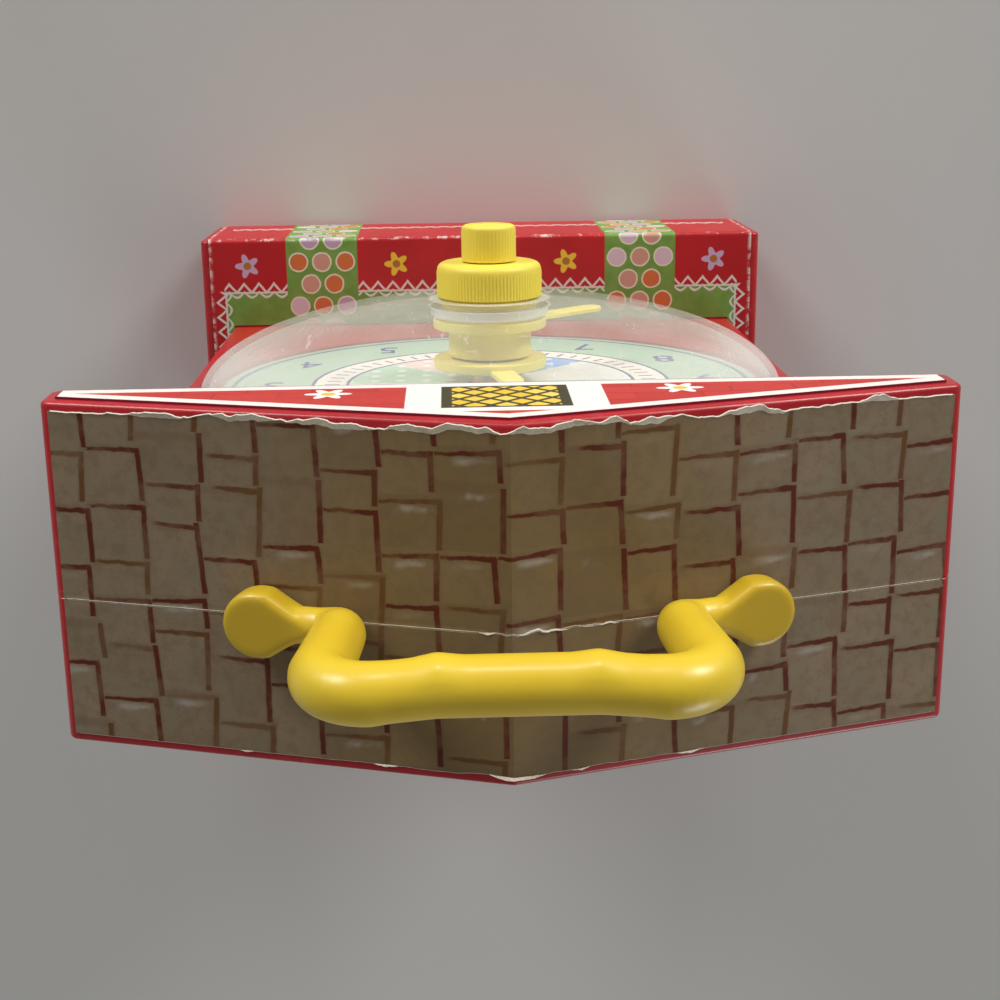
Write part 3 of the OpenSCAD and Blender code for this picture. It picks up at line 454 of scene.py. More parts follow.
def roofFinish():
    spec, inks = roofPrint, roofInks
    columnW, tileL, uneven = spec["columnW"], spec["tileL"], spec["uneven"]
    made = Finish("roofPaper", Specular_IOR_Level=0.35)
    x, y, z = made.axes()
    fibre, sheet = paperGrain(made)
    tremble = made.noise(0.5, 2) - 0.5
    across = x / math.cos(slope) / columnW + tremble * 0.035

    def tile(column):  # the tile of a column that holds the place, and the way out from its upright
        along = y / tileL + made.chance(column, 3) * spec["columnShift"] + tremble * 0.03
        # tiles of uneven length: a place short of its row's joint belongs to the tile before
        row = math.floor(along)
        row = row - (along - row < made.chance(column, row) * uneven)
        first = made.chance(column, row) * uneven
        inRow = (along - row - first) * tileL
        luck = made.chance(column + 60, row)
        hue = made.chance(row + 80, column)
        # the upright leans and stands a little beside the last one
        start = spec["start"] + luck * spec["startMore"] + (inRow - tileL / 2) * (hue - 0.5) * spec["lean"]
        return row, first, inRow, luck, hue, (across - column) * columnW - start

    column = math.floor(across)
    beside = tile(column)[-1]
    column = column - (beside < spec["ownFrom"])  # short of the upright it is the last column's tile
    row, first, inRow, luck, hue, out = tile(column)
    tileEnd = (made.chance(column, row + 1) * uneven - first + 1) * tileL
    other = made.chance(row, column + 40)
    # how heavily the line was printed
    press = 0.62 + made.noise(0.16, 3, 0.6).step(0.36, 0.56) * 0.38
    upright = abs(out).step(*spec["upright"]) * (inRow > other) * (inRow < tileEnd + 0.3 - luck * 0.9)
    fromJoint = abs(inRow - spec["jointAt"] + tremble * 0.5 - out * (other - 0.5) * spec["jointLean"])
    joint = fromJoint.step(*[half - out * spec["jointTaper"] for half in spec["upright"]])
    joint = joint * (out > -0.4) * out.step(*[end + other * spec["jointMore"] for end in spec["jointEnd"]])
    ink = upright * press | joint * press * luck.step(0.05, 0.10)
    # pale brush marks beside some joints, widening away from the upright
    mark = abs(inRow - spec["markAt"] - tremble - out * 0.05)
    mark = mark.step(0.5 + out * 0.11, 0)
    mark = mark * out.step(0.4, 3.0) * out.step(8.5, 6.0) * other.step(0.60, 0.85)
    cast = made.noise(0.20, 4, 0.65)
    masks = {
        "olive": cast.step(0.46, 0.64), "rosy": cast.step(0.44, 0.30),
        "warm": abs(x).step(50, 16) * (0.6 + sheet * 0.6),
        "mottle": made.noise(0.4, 4, 0.7).step(0.60, 0.34),
        "stain": abs(beside).step(1.2, 0.4) | abs(inRow - spec["jointAt"]).step(1.0, 0.3),
        "mark": mark * made.noise(0.28, 3).step(0.36, 0.60),
        "fibre": fibre.step(0.56, 0.72),
    }
    tints = {**inks, "warm": made.mix(luck, inks["warm"], inks["warmPale"])}
    paper = made.mix(luck, inks["paper"], inks["paperPale"])
    for layer, share in roofLayers.items():
        paper = made.mix(masks[layer] * share, paper, tints[layer])
    stroke = made.mix(hue.step(0.50, 0.85), inks["red"], inks["brown"])
    made.feed(Base_Color=made.mix(ink, paper, stroke), Roughness=0.46 + fibre * 0.2)
    return made.material


tornInks = dict(pale=(0.86, 0.81, 0.72), dark=(0.72, 0.64, 0.52), stain=(0.52, 0.43, 0.32))


def tornFinish():
    made = Finish("tornPaper", Roughness=0.95, Specular_IOR_Level=0.1)
    fibre = made.noise(2.4, 5, 0.75, made.spread(1, 2.2, 1))
    stain = made.noise(0.3, 3).step(0.55, 0.75) * 0.6
    tint = made.mix(fibre.step(0.35, 0.7), tornInks["pale"], tornInks["dark"])
    made.feed(Base_Color=made.mix(stain, tint, tornInks["stain"]))
    made.bump(fibre, 0.25)
    return made.material


brick = dict(length=11, height=5.2, swayUp=0.22, swayAlong=0.10)


def brickLines(made, u, v):  # ink lines of a running bond, and a chance for each brick
    tremble = made.noise(0.3, 3) - 0.5
    up = v / brick["height"] + tremble * brick["swayUp"]
    course = math.floor(up)
    along = u / brick["length"] + (course % 2) * 0.5 + tremble * brick["swayAlong"]
    number = math.floor(along)
    bed = ((0.5 - abs(up - course - 0.5)) * brick["height"]).step(0.42, 0.14)
    joint = ((0.5 - abs(along - number - 0.5)) * brick["length"]).step(0.40, 0.12)
    lines = (bed | joint) * made.noise(0.12, 3, 0.65).step(0.36, 0.56)
    return lines, made.chance(number, course)


flower = dict(wave=0.24, soft=0.25, heart=(0.34, 0.26))


def blossom(u, v, place, size, petals):  # petal mask and heart mask
    du, dv = u - place[0], v - place[1]
    reach = radius(du, dv)
    turn = du.math("ARCTAN2", dv, du) * petals
    edge = (turn.math("COSINE", turn) * flower["wave"] + (1 - flower["wave"])) * size
    return (edge - reach).step(0, flower["soft"]), reach.step(*[size * share for share in flower["heart"]])


house = dict(brick=(0.56, 0.040, 0.030), brickDark=(0.50, 0.026, 0.022), line=(0.30, 0.012, 0.012),
             edgeShadow=(0.20, 0.010, 0.030), white=(0.86, 0.83, 0.79), whiteLeast=0.86, whiteMore=0.14)


def houseFinish(name, u, v, border, picture=None):
    made = Finish(name, Specular_IOR_Level=0.4)
    place = dict(zip("xyz", made.axes()))
    fibre, sheet = paperGrain(made)
    lines, luck = brickLines(made, place[u], place[v])
    tint = made.mix(luck, house["brick"], house["brickDark"])
    tint = made.mix(lines * 0.55, tint, house["line"])
    if picture:
        tint = picture(made, place["x"], place["z"], tint)
    wavy = border(**place) + (made.noise(0.4, 2) - 0.5) * 0.25
    white = wavy.step(0.15, 0.35) * wavy.step(3.1, 2.9)
    # painted shadow along the label's outer edge, where it meets the red rim
    tint = made.mix(wavy.step(0.35, 0.15), tint, house["edgeShadow"])
    tint = made.mix(white * (house["whiteLeast"] + sheet * house["whiteMore"]), tint, house["white"])
    made.feed(Base_Color=tint, Roughness=0.36 + fibre * 0.16 + sheet * 0.08)
    return made.material


def gableBorder(x, y, z):
    rim = case["labelRim"]
    down = (case["ridgeZ"] - rim / math.cos(slope) - z) * math.cos(slope) - abs(x) * math.sin(slope)
    return down & (z - case["soffitZ"] - rim) & (case["halfW"] - rim - abs(x))


def sideBorder(x, y, z):
    rim = case["labelRim"]
    return ((z - case["shelfZ"] - rim) & (case["soffitZ"] - rim - z)
            & (y - case["wallY"] - rim) & (case["backY"] - rim - y))


gable = dict(centreZ=229.6, halfW=10.7, halfH=8.6, frame=6.2, frameTall=2.2, soft=0.2, pane=5.2,
             flowerX=30, flowerZ=225.4, flowerR=4.2, petals=6, amber=(0.80, 0.50, 0.03),
             honey=(0.87, 0.66, 0.12), lead=(0.045, 0.040, 0.012), white=(0.84, 0.82, 0.78),
             petal=(0.84, 0.82, 0.80), heart=(0.85, 0.52, 0.05))


def gablePicture(made, x, z, tint):  # a leaded window between two flowers
    beyond = ((abs(x) - gable["halfW"])
              | (abs(z - gable["centreZ"]) - gable["halfH"]) * gable["frameTall"])
    a, b = (x + z) / gable["pane"], (x - z) / gable["pane"]
    lead = (0.5 - abs(a - math.floor(a) - 0.5)) & (0.5 - abs(b - math.floor(b) - 0.5))
    pane = made.mix(made.chance(math.floor(a), math.floor(b)), gable["amber"], gable["honey"])
    glazed = made.mix(lead.step(0.16, 0.10), pane, gable["lead"])
    for side in (-1, 1):
        petals, heart = blossom(x, z, (side * gable["flowerX"], gable["flowerZ"]),
                                gable["flowerR"], gable["petals"])
        tint = made.mix(petals, tint, gable["petal"])
        tint = made.mix(heart, tint, gable["heart"])
    tint = made.mix(beyond.step(gable["frame"], gable["frame"] - gable["soft"]), tint, gable["white"])
    tint = made.mix(beyond.step(gable["soft"], 0.0), tint, gable["lead"])
    return made.mix(beyond.step(-1.6, -1.8), tint, glazed)


lawn = dict(edgeV=-19.5, halfW=72.4, down=26, bandX=45, bandHalf=10, soft=(0.1, -0.1), foldIn=0.3,
            worn=0.8)
lawnInks = dict(red=(0.50, 0.014, 0.018), redDark=(0.45, 0.011, 0.015), green=(0.155, 0.315, 0.052),
                greenPale=(0.195, 0.365, 0.072), ring=(0.74, 0.74, 0.55), lace=(0.80, 0.82, 0.74),
                heart=(0.42, 0.16, 0.03), yellow=(0.82, 0.55, 0.04), lilac=(0.56, 0.40, 0.56),
                worn=(0.83, 0.76, 0.70))
edging = dict(tooth=4.2, toothH=2.5, loopAt=0.2, loopH=1.5, end=(0.6, 0.2), share=0.85)
dot = dict(pitch=6.6, rise=6.2, r=2.35, ring=(0.55, 0.35), edge=(0.1, -0.1), tremble=0.5, reach=1.2,
           seed=17, stops=[(0.0, (0.50, 0.36, 0.48)), (0.3, (0.62, 0.17, 0.045)),
                           (0.55, (0.60, 0.32, 0.24)), (0.8, (0.66, 0.52, 0.58))])
lawnFlowers = dict(r=3.6, petals=5, yellow=[(-24, -27), (24, -27), (0, -47)],
                   lilac=[(-66, -27), (66, -27)])


def lace(along, out, tremble):  # zigzag teeth outwards, small loops inwards
    count = along / edging["tooth"]
    zigzag = abs(count - math.floor(count) - 0.5) * 2
    wave = count * math.pi
    loop = abs(wave.math("SINE", wave))
    teeth = abs(out + tremble * 0.5 - zigzag * edging["toothH"])
    loops = abs(edging["loopAt"] - out + tremble * 0.4 - loop * edging["loopH"])
    return (teeth.step(0.62, 0.30) * (out > -0.3)
            | loops.step(0.45, 0.22) | abs(out).step(0.35, 0.15))


def gardenFinish():
    inks = lawnInks
    made = Finish("gardenPaper", Specular_IOR_Level=0.4)
    x, y, z = made.axes()
    fibre, sheet = paperGrain(made)
    v = y - (case["shelfZ"] + case["labelT"] - z)  # the shelf and the front, laid flat
    foldV = case["baseY"] - case["labelT"]
    tremble = made.noise(0.5, 2) - 0.5
    red = made.mix(sheet.step(0.35, 0.65), inks["red"], inks["redDark"])
    green = made.mix(made.noise(0.25, 4).step(0.35, 0.68), inks["green"], inks["greenPale"])
    side = abs(x) - lawn["halfW"]
    back = lawn["edgeV"] - v  # positive in front of the lawn
    lowFront = v - (foldV - lawn["down"])
    grass = back.step(*lawn["soft"]) & side.step(*lawn["soft"])
    band = (abs(abs(x) - lawn["bandX"]) - lawn["bandHalf"]).step(*lawn["soft"])
    tint = made.mix(grass | band, red, green)
    # staggered round dots up each band
    row = math.floor(v / dot["rise"])
    across = (abs(x) - lawn["bandX"]) / dot["pitch"] + (row % 2) * 0.5
    number = math.floor(across)
    reach = radius((across - number - 0.5) * dot["pitch"], (v / dot["rise"] - row - 0.5) * dot["rise"])
    reach = reach + tremble * dot["tremble"]
    inBand = (abs(number + 0.5 - (row % 2) * 0.5) < dot["reach"]) * band
    luck = made.chance(number + (x > 0) * dot["seed"], row)
    dots = made.node("ShaderNodeValToRGB", {"ramp": "CONSTANT", "stops": dot["stops"]}, [luck])
    tint = made.mix(reach.step(*[dot["r"] + more for more in dot["ring"]]) * inBand, tint, inks["ring"])
    tint = made.mix(reach.step(*[dot["r"] + more for more in dot["edge"]]) * inBand, tint, dots)
    clear, ends = 1 - band, side.step(*edging["end"])
    trim = (lace(x, back, tremble) * clear * ends
            | lace(v, side, tremble) * back.step(*edging["end"])
            | lace(x, lowFront, tremble) * clear * ends)
    tint = made.mix(trim * edging["share"], tint, inks["lace"])
    for colour in ("yellow", "lilac"):
        for place in lawnFlowers[colour]:
            petals, heart = blossom(x, v, place, lawnFlowers["r"], lawnFlowers["petals"])
            tint = made.mix(petals, tint, inks[colour])
            tint = made.mix(heart, tint, inks["heart"])
    # white paper showing where the fold and the ends are rubbed
    fold = abs(v - foldV + lawn["foldIn"])
    end = case["halfW"] - case["labelRim"] - abs(x)
    worn = (fold.step(1.3, 0.2) * made.noise(0.35, 5, 0.7).step(0.50, 0.62)
            | end.step(1.2, 0.1) * made.noise(0.5, 5, 0.7).step(0.42, 0.60))
    tint = made.mix(worn * lawn["worn"], tint, inks["worn"])
    made.feed(Base_Color=tint, Roughness=0.30 + fibre * 0.16 + worn * 0.3)
    return made.material


dial = dict(speck=6, rings=[(33.2, (0.5, 0.3)), (41.2, (0.5, 0.3)), (59.5, (0.6, 0.4))])
dialInks = dict(blue=(0.25, 0.42, 0.78), white=(0.86, 0.85, 0.82), green=(0.45, 0.66, 0.46),
                pink=(0.82, 0.62, 0.56), sand=(0.82, 0.70, 0.52), speck=(0.90, 0.90, 0.88),
                minutes=(0.86, 0.78, 0.70), hours=(0.40, 0.54, 0.40), line=(0.05, 0.07, 0.22))
dialWedges = ["blue", "white", "green", "pink", "blue", "white", "green", "sand"]


def dialFinish():
    inks = dialInks
    made = Finish("dialPaper", Specular_IOR_Level=0.4)
    x, y, z = made.axes()
    fibre, sheet = paperGrain(made)
    up = z - case["dialZ"]
    reach = radius(x, up) + (made.noise(0.3, 2) - 0.5) * 0.3
    turn = (x.math("ARCTAN2", x, up) / (2 * math.pi)) % 1.0  # clockwise from the top
    stops = [(i / len(dialWedges), inks[colour]) for i, colour in enumerate(dialWedges)]
    tint = made.node("ShaderNodeValToRGB", {"ramp": "CONSTANT", "stops": stops}, [turn])
    gx, gz = x / dial["speck"], up / dial["speck"]
    speck = radius(gx - math.floor(gx) - 0.5, gz - math.floor(gz) - 0.5)
    tint = made.mix(speck.step(0.20, 0.16) * 0.8, tint, inks["speck"])
    tint = made.mix(reach.step(33.0, 33.3), tint, inks["minutes"])
    tint = made.mix(reach.step(41.0, 41.3), tint, inks["hours"])
    minute = turn * 60
    tick = abs(minute - math.floor(minute + 0.5)) * reach * (2 * math.pi / 60)
    lines = tick.step(0.42, 0.28) * reach.step(35.0, 35.2) * reach.step(38.6, 38.4)
    for ring, half in dial["rings"]:
        lines = lines | abs(reach - ring).step(*half)
    tint = made.mix(lines, tint, inks["line"])
    made.feed(Base_Color=tint, Roughness=0.45 + fibre * 0.18)
    return made.material


numberInks = dict(dark=(0.035, 0.045, 0.20), pale=(0.05, 0.06, 0.26))


def inkFinish():
    made = Finish("numberInk", Specular_IOR_Level=0.4)
    mottle = made.noise(0.8, 3)
    made.feed(Base_Color=made.mix(mottle, numberInks["dark"], numberInks["pale"]),
              Roughness=0.4 + mottle * 0.15)
    made.bump(mottle, 0.01)
    return made.material


roofPaper, tornPaper, gardenPaper, dialPaper = roofFinish(), tornFinish(), gardenFinish(), dialFinish()
gablePaper = houseFinish("gablePaper", "x", "z", gableBorder, gablePicture)
sidePaper = houseFinish("sidePaper", "y", "z", sideBorder)
numberInk = inkFinish()
print("finishes ready")


# case halves: the moulded shells with their outer edges rounded

shells = dict(edge=0.8, wallEdge=0.8, seamEdge=0.22, segments=3, gap=0.1, band=2.1, roofBand=2.2,
              smooth=40)


def outside(edge):  # on the outline of the base, waist or roof
    middle = (edge.verts[0].co + edge.verts[1].co) / 2 / mm
    x, z = abs(middle.x), middle.z
    gap, band = shells["gap"], shells["band"]
    if z < case["shelfZ"] + gap:
        return x > case["halfW"] - band or z < band or z > case["shelfZ"] - band
    if z > case["soffitZ"] - gap:
        top = case["ridgeZ"] - x * math.tan(slope)
        return x > case["halfW"] - band or z < case["soffitZ"] + band or z > top - shells["roofBand"]
    return x > case["waistHalf"] - gap


def shell(node, name, faceLevels):
    obj = copyOf(node, name)
    waist = case["waistHalf"] - shells["gap"]
    for level in faceLevels:
        roundEdges(obj, lambda e: near(e, 1, level) and bent(e) and outside(e),
                   shells["edge"], shells["segments"])
    roundEdges(obj, lambda e: near(e, 1, case["wallY"]) and bent(e)
               and all(abs(v.co.x) / mm > waist for v in e.verts), shells["wallEdge"], shells["segments"])
    roundEdges(obj, lambda e: near(e, 1, case["seamY"]) and bent(e) and outside(e), shells["seamEdge"], 1)
    smooth(obj, shells["smooth"])
    dress(obj, redPlastic, "case", "red_plastic", node)


shell("front_shell", "frontCase", [case["baseY"], case["roofY"]])
shell("rear_shell", "rearCase", [case["backY"]])
print("case halves ready")


# paper labels

roofSheet = dict(rim=1.6, gap=0.08, thick=0.30, columns=320, rows=48, lift=0.02, flat=0.04, edgeBand=2.2,
                 endGap=0.2, edgeLift=0.06, lipLift=0.32, lipBand=3.4, lipTaper=0.6, lipSteps=5,
                 seamLip=0.35, lipTop=0.2, lipHalf=0.1, tearSteps=6)
tears = dict(seam=dict(deep=2.5, fade=4, midX=-8, half=9, strength=1.3, grain=2.2, seed=7),
             rim=dict(deep=4, fade=28, share=1, grain=9, seed=3),
             teeth=dict(deep=2.5, fade=60, share=0.27, grain=2.2, seed=5), lip=dict(grain=4, seed=11))
frontSheet = dict(y=(case["roofY"] + roofSheet["rim"], case["seamY"] - roofSheet["gap"]), rimAt=0,
                  tear=3.4, tornTo=42, lip=0.9, edge=0.14, node="roof_label_front", seamLips=[(2, 6)],
                  rimLips=[(55, 66), (39, 51), (22, 38), (1, 21), (-15, 1), (-21, -14), (-29, -20),
                           (-49, -36), (-70, -62)])
rearSheet = dict(y=(case["seamY"] + roofSheet["gap"], case["backY"] - roofSheet["rim"]), rimAt=1,
                 tear=1.1, tornTo=10, lip=0.5, edge=0.05, node="roof_label_rear",
                 seamLips=[(-10, 0), (-14.5, -11), (-19, -14)],
                 rimLips=[(-6, 5), (-14, -10), (-35, -29), (20, 25), (46, 50)])


def tear(obj, name, depth, strength, cut):  # ragged edge: pushes verts about along y, less with depth
    group = obj.vertex_groups.new(name=name)
    steps = roofSheet["tearSteps"]
    edit(obj)
    for i in range(steps):
        pick("verts", lambda v: depth(v.co / mm) < 1 - i / steps)
        bpy.context.scene.tool_settings.vertex_group_weight = (i + 1) / steps
        bpy.ops.object.vertex_group_assign()
    leave()
    rag = bpy.data.textures.new(name, "CLOUDS")
    rag.noise_scale, rag.noise_depth = cut["grain"] * mm, 3
    bpy.ops.object.empty_add(location=(cut["seed"] * mm, 0, 0))
    origin = bpy.context.active_object
    modify(obj, "DISPLACE", texture=rag, texture_coords="OBJECT", texture_coords_object=origin,
           direction="Y", strength=strength * mm, mid_level=0.5, vertex_group=group.name)
    bpy.data.objects.remove(origin)


def roofSheetPiece(name, spec):
    run = (case["halfW"] - roofSheet["rim"]) / math.cos(slope)
    y0, y1 = spec["y"]
    rimEnd, seamEnd = (y0, y1) if spec["rimAt"] == 0 else (y1, y0)
    out = -1 if spec["rimAt"] == 0 else 1
    only(camera)
    bpy.ops.mesh.primitive_grid_add(x_subdivisions=roofSheet["columns"], y_subdivisions=roofSheet["rows"],
                                    size=1)
    obj = bpy.context.active_object
    obj.name = name
    obj.scale = (2 * run * mm, (y1 - y0) * mm, 1)
    obj.location = (0, (y0 + y1) / 2 * mm, (case["ridgeZ"] + roofSheet["lift"]) * mm)
    settle(obj)
    # the seam edge is split by the ridge, the rim is ragged for most of its length
    seam, rim, teeth = tears["seam"], tears["rim"], tears["teeth"]
    tear(obj, name + "Seam", lambda p: abs(p.y - seamEnd) / seam["deep"]
         + max(0, abs(p.x - seam["midX"]) - seam["half"]) / seam["fade"], seam["strength"], seam)
    for suffix, cut in (("Rim", rim), ("Teeth", teeth)):
        tear(obj, name + suffix, lambda p: abs(p.y - rimEnd) / cut["deep"]
             + max(0, abs(p.x) - spec["tornTo"]) / cut["fade"], spec["tear"] * cut["share"], cut)
    flat, steps = case["ridgeZ"] + roofSheet["flat"], roofSheet["lipSteps"]

    def within(v, spans):  # how far inside a span of torn edge
        return max(min(v.co.x / mm - a, b - v.co.x / mm) for a, b in spans)

    # the bare edge of the paper, curling up to a lip in the spans where it has torn
    edges = ((rimEnd, spec["rimLips"], out, spec["lip"]),
             (seamEnd, spec["seamLips"], -out, roofSheet["seamLip"]))
    edit(obj)
    for end, spans, way, lip in edges:
        pick("verts", lambda v: v.is_boundary and abs(v.co.y / mm - end) < roofSheet["edgeBand"]
             and v.co.z / mm < flat and abs(v.co.x / mm) < run - roofSheet["endGap"])
        push(0, way * spec["edge"], roofSheet["edgeLift"])
        for i in range(1, steps + 1):
            pick("verts", lambda v: v.co.z / mm > flat and abs(v.co.y / mm - end) < roofSheet["lipBand"]
                 and within(v, spans) > i * roofSheet["lipTaper"])
            shift(0, way * lip / steps, roofSheet["lipLift"] / steps)
    leave()

    def fromLip(p):  # 0 on the lip's top, past 1 on the sheet
        return 0 if p.z > flat + roofSheet["lipTop"] else 0.6 if p.z > flat + roofSheet["lipHalf"] else 2

    tear(obj, name + "Lip", fromLip, spec["lip"], tears["lip"])
    edit(obj)
    pick("faces", lambda f: max(v.co.z for v in f.verts) / mm > flat)
    obj.data.materials.append(roofPaper)
    obj.data.materials.append(tornPaper)
    obj.active_material_index = 1
    bpy.ops.object.material_slot_assign()
    # fold over the ridge
    for side in (-1, 1):
        pick("verts", lambda v: v.co.x * side > 1e-6)
        bpy.ops.transform.rotate(value=-side * slope, orient_axis="Y",
                                 center_override=(0, 0, case["ridgeZ"] * mm))
    leave()
    modify(obj, "SOLIDIFY", thickness=roofSheet["thick"] * mm, offset=1)
    outward(obj)
    smooth(obj, 30)
    dress(obj, None, "case", "roof_print", spec["node"])


roofSheetPiece("roofPaperFront", frontSheet)
roofSheetPiece("roofPaperRear", rearSheet)

baseSheet = dict(fold=1.2, segments=5, smooth=40)
basePaper = copyOf("base_label", "basePaper")
for depth in (0, case["labelT"]):  # the same bend on both faces
    roundEdges(basePaper, lambda e: near(e, 2, case["shelfZ"] + depth)
               and near(e, 1, case["baseY"] - depth),
               baseSheet["fold"] - case["labelT"] + depth, baseSheet["segments"])
smooth(basePaper, baseSheet["smooth"])
dress(basePaper, gardenPaper, "case", "garden_print", "base_label")
print("labels ready")


# carrying handle: one half drawn out from the middle of the grip, mirrored, feet fused on

grip = dict(legX=30, z=272.6, midR=4.7, cornerR=4.9, legR=4.5, ring=40,
            stations=[0, 4, 8, 10.8, 12, 13.4, 16, 19], padHalf=12, padOut=0.5, bow=0.9,
            swells=[(0.1, 0.6), (1.5, 0.4), (1.5, 0.2)], bend=8, bendSteps=10, elbow=4.6, elbowSteps=8,
            elbowClear=0.1, lean=1.8, neckHalf=3.2, voxel=0.36, relax=0.5, relaxTimes=14, smooth=60)
foot = dict(x=40.81, r=5.8, thick=6.0, lift=0.45, ring=64, tail=1.95, tailFrom=3, tailTo=11,
            tailNarrow=0.895, edge=1.2, edgeSegments=4)


def footMiddle():  # square to the right slope, half the foot's thickness above it
    up = foot["lift"] + foot["thick"] / 2
    z = case["ridgeZ"] - foot["x"] * math.tan(slope)
    return Vector((foot["x"] + up * math.sin(slope), case["seamY"], z + up * math.cos(slope)))


def gripHalf():
    seamY = case["seamY"]
    obj = circle("carryHandle", grip["ring"], grip["midR"],
                 (0, (seamY - grip["bow"]) * mm, grip["z"] * mm), (0, math.pi / 2, 0))
    edit(obj)
    pickAll()
    straight = grip["legX"] - grip["bend"]
    places = grip["stations"] + [straight]

    def bowed(x):  # the middle bows a little to the front and runs back evenly to the corners
        return grip["bow"] * max(0, x - grip["padHalf"]) / (straight - grip["padHalf"])

    for last, this in zip(places, places[1:]):
        push(this - last, bowed(this) - bowed(last))
    swell = grip["cornerR"] / grip["midR"]
    stretch((1, swell, swell), (0, seamY, grip["z"]))
    # a low swelling on the front at each end of the middle
    for wide, deep in grip["swells"]:
        pick("verts", lambda v: abs(v.co.x / mm - grip["padHalf"]) < wide
             and v.co.y / mm < seamY - grip["bow"] - grip["midR"] * deep)
        shift(0, -grip["padOut"] / len(grip["swells"]))
    pick("verts", lambda v: v.co.x / mm > straight - tiny)
    spin(math.pi / 2, grip["bendSteps"], (straight, seamY, grip["z"] - grip["bend"]))
    end = footMiddle()
    legEnd = grip["legX"] - grip["lean"]
    elbowX = legEnd + grip["elbow"]
    # height where the elbow's arc meets the foot's line
    along = (elbowX - grip["elbow"] * math.sin(slope) - end.x) / math.cos(slope)
    elbowZ = end.z - along * math.sin(slope) + grip["elbow"] * math.cos(slope)
    narrow = grip["legR"] / grip["cornerR"]
    push(-grip["lean"], 0, elbowZ - grip["z"] + grip["bend"])
    stretch((narrow, narrow, 1), (legEnd, seamY, elbowZ))
    before, steps, sweep = grip["legR"], grip["elbowSteps"], math.pi / 2 - slope
    wide = (grip["neckHalf"] / grip["legR"]) ** (1 / steps)
    for i in range(1, steps + 1):  # elbow, thinning so that it stays above the roof
        turned = sweep * i / steps
        spin(-sweep / steps, 1, (elbowX, seamY, elbowZ))
        room = (grip["elbow"] + foot["thick"] / 2) / math.cos(sweep - turned) - grip["elbow"]
        now = min(grip["legR"], room - grip["elbowClear"])
        middle = (elbowX - grip["elbow"] * math.cos(turned), seamY,
                  elbowZ - grip["elbow"] * math.sin(turned))
        stretch((now / before, wide, now / before), middle)
        before = now
    push(*(end - Vector(middle)))
    bpy.ops.mesh.edge_face_add()
    leave()
    return obj


def footPad():
    bpy.ops.mesh.primitive_cylinder_add(vertices=foot["ring"], radius=foot["r"] * mm,
                                        depth=foot["thick"] * mm)
    obj = bpy.context.active_object
    edit(obj)
    # draw the inner side out to a tail
    pick("verts", lambda v: v.co.x < -tiny * mm)
    stretch((foot["tail"], 1, 1), (0, 0, 0))
    for start in range(foot["tailFrom"], foot["tailTo"]):  # narrowing to the neck
        pick("verts", lambda v: v.co.x / mm < -start)
        stretch((1, foot["tailNarrow"], 1), (0, 0, 0))
    pick("edges", lambda e: bent(e, 60))
    bpy.ops.mesh.bevel(offset=foot["edge"] * mm, segments=foot["edgeSegments"], affect="EDGES")
    leave()
    obj.rotation_euler = (0, slope, 0)
    obj.location = footMiddle() * mm
    settle(obj)
    return obj


carryHandle = join(gripHalf(), footPad())
modify(carryHandle, "MIRROR", use_axis=(True, False, False), use_mirror_merge=True,
       merge_threshold=tiny * mm)
outward(carryHandle)
modify(carryHandle, "REMESH", mode="VOXEL", voxel_size=grip["voxel"] * mm, use_smooth_shade=True)
modify(carryHandle, "SMOOTH", factor=grip["relax"], iterations=grip["relaxTimes"])
smooth(carryHandle, grip["smooth"])
dress(carryHandle, yellowPlastic, "case", "yellow_plastic", "handle")
print("handle ready")


# ribbed knobs

knobs = dict(perRib=4, fade=0.5, shoulderSteps=6, smooth=32)
settingSpec = dict(r=12, rib=0.12, ribs=96, h=7.6, edge=1.7, backY=-30.55, bore=2.2, boreDepth=3,
                   stemR=10.75, stemL=5.05)
windingSpec = dict(r=6.2, rib=0.08, ribs=48, h=8.0, edge=0.9, backY=-38.45, bore=4.2, boreDepth=0.12,
                   stemR=2.6, stemL=0.01)


def ribbedKnob(name, spec):
    centre = (0, spec["backY"], case["dialZ"])
    r, core, count = spec["r"], spec["r"] - spec["rib"], spec["ribs"] * knobs["perRib"]
    obj = circle(name, count, r, Vector(centre) * mm, (math.pi / 2, 0, 0))

    def widen(factor):
        stretch((factor, 1, factor), centre)

    def atLevel(v, y):
        return abs(v.co.y / mm - y) < tiny

    def groove(v):  # the low half of each rib
        turn = math.atan2(v.co.z / mm - case["dialZ"], v.co.x / mm) / (2 * math.pi) * count
        return round(turn) % knobs["perRib"] in (2, 3)

    def stemRing(v):
        reach = math.hypot(v.co.x / mm, v.co.z / mm - case["dialZ"])
        return atLevel(v, spec["backY"]) and reach < (spec["stemR"] + core) / 2

    edit(obj)
    pick("verts", groove)
    widen(core / r)
    pickAll()
    push(0, -(spec["h"] - spec["edge"] - knobs["fade"]))
    push(0, -knobs["fade"])
    level = spec["backY"] - (spec["h"] - spec["edge"])
    pick("verts", lambda v: atLevel(v, level) and not groove(v))
    widen(core / r)
    pick("verts", lambda v: atLevel(v, level))
    before, drop, steps = core, 0, knobs["shoulderSteps"]
    for i in range(1, steps + 1):  # rounded shoulder
        a = math.pi / 2 * i / steps
        now = core - spec["edge"] * (1 - math.cos(a))
        push(0, drop - spec["edge"] * math.sin(a))
        widen(now / before)
        before, drop = now, spec["edge"] * math.sin(a)
    push()
    widen(spec["bore"] / before)
    push(0, spec["boreDepth"])
    bpy.ops.mesh.edge_face_add()
    # underside and round stem
    pick("verts", lambda v: atLevel(v, spec["backY"]))
    push()
    widen(spec["stemR"] / r)
    pick("verts", lambda v: stemRing(v) and groove(v))
    widen(r / core)
    pick("verts", stemRing)
    push(0, spec["stemL"])
    bpy.ops.mesh.edge_face_add()
    leave()
    outward(obj)
    smooth(obj, knobs["smooth"])
    return obj


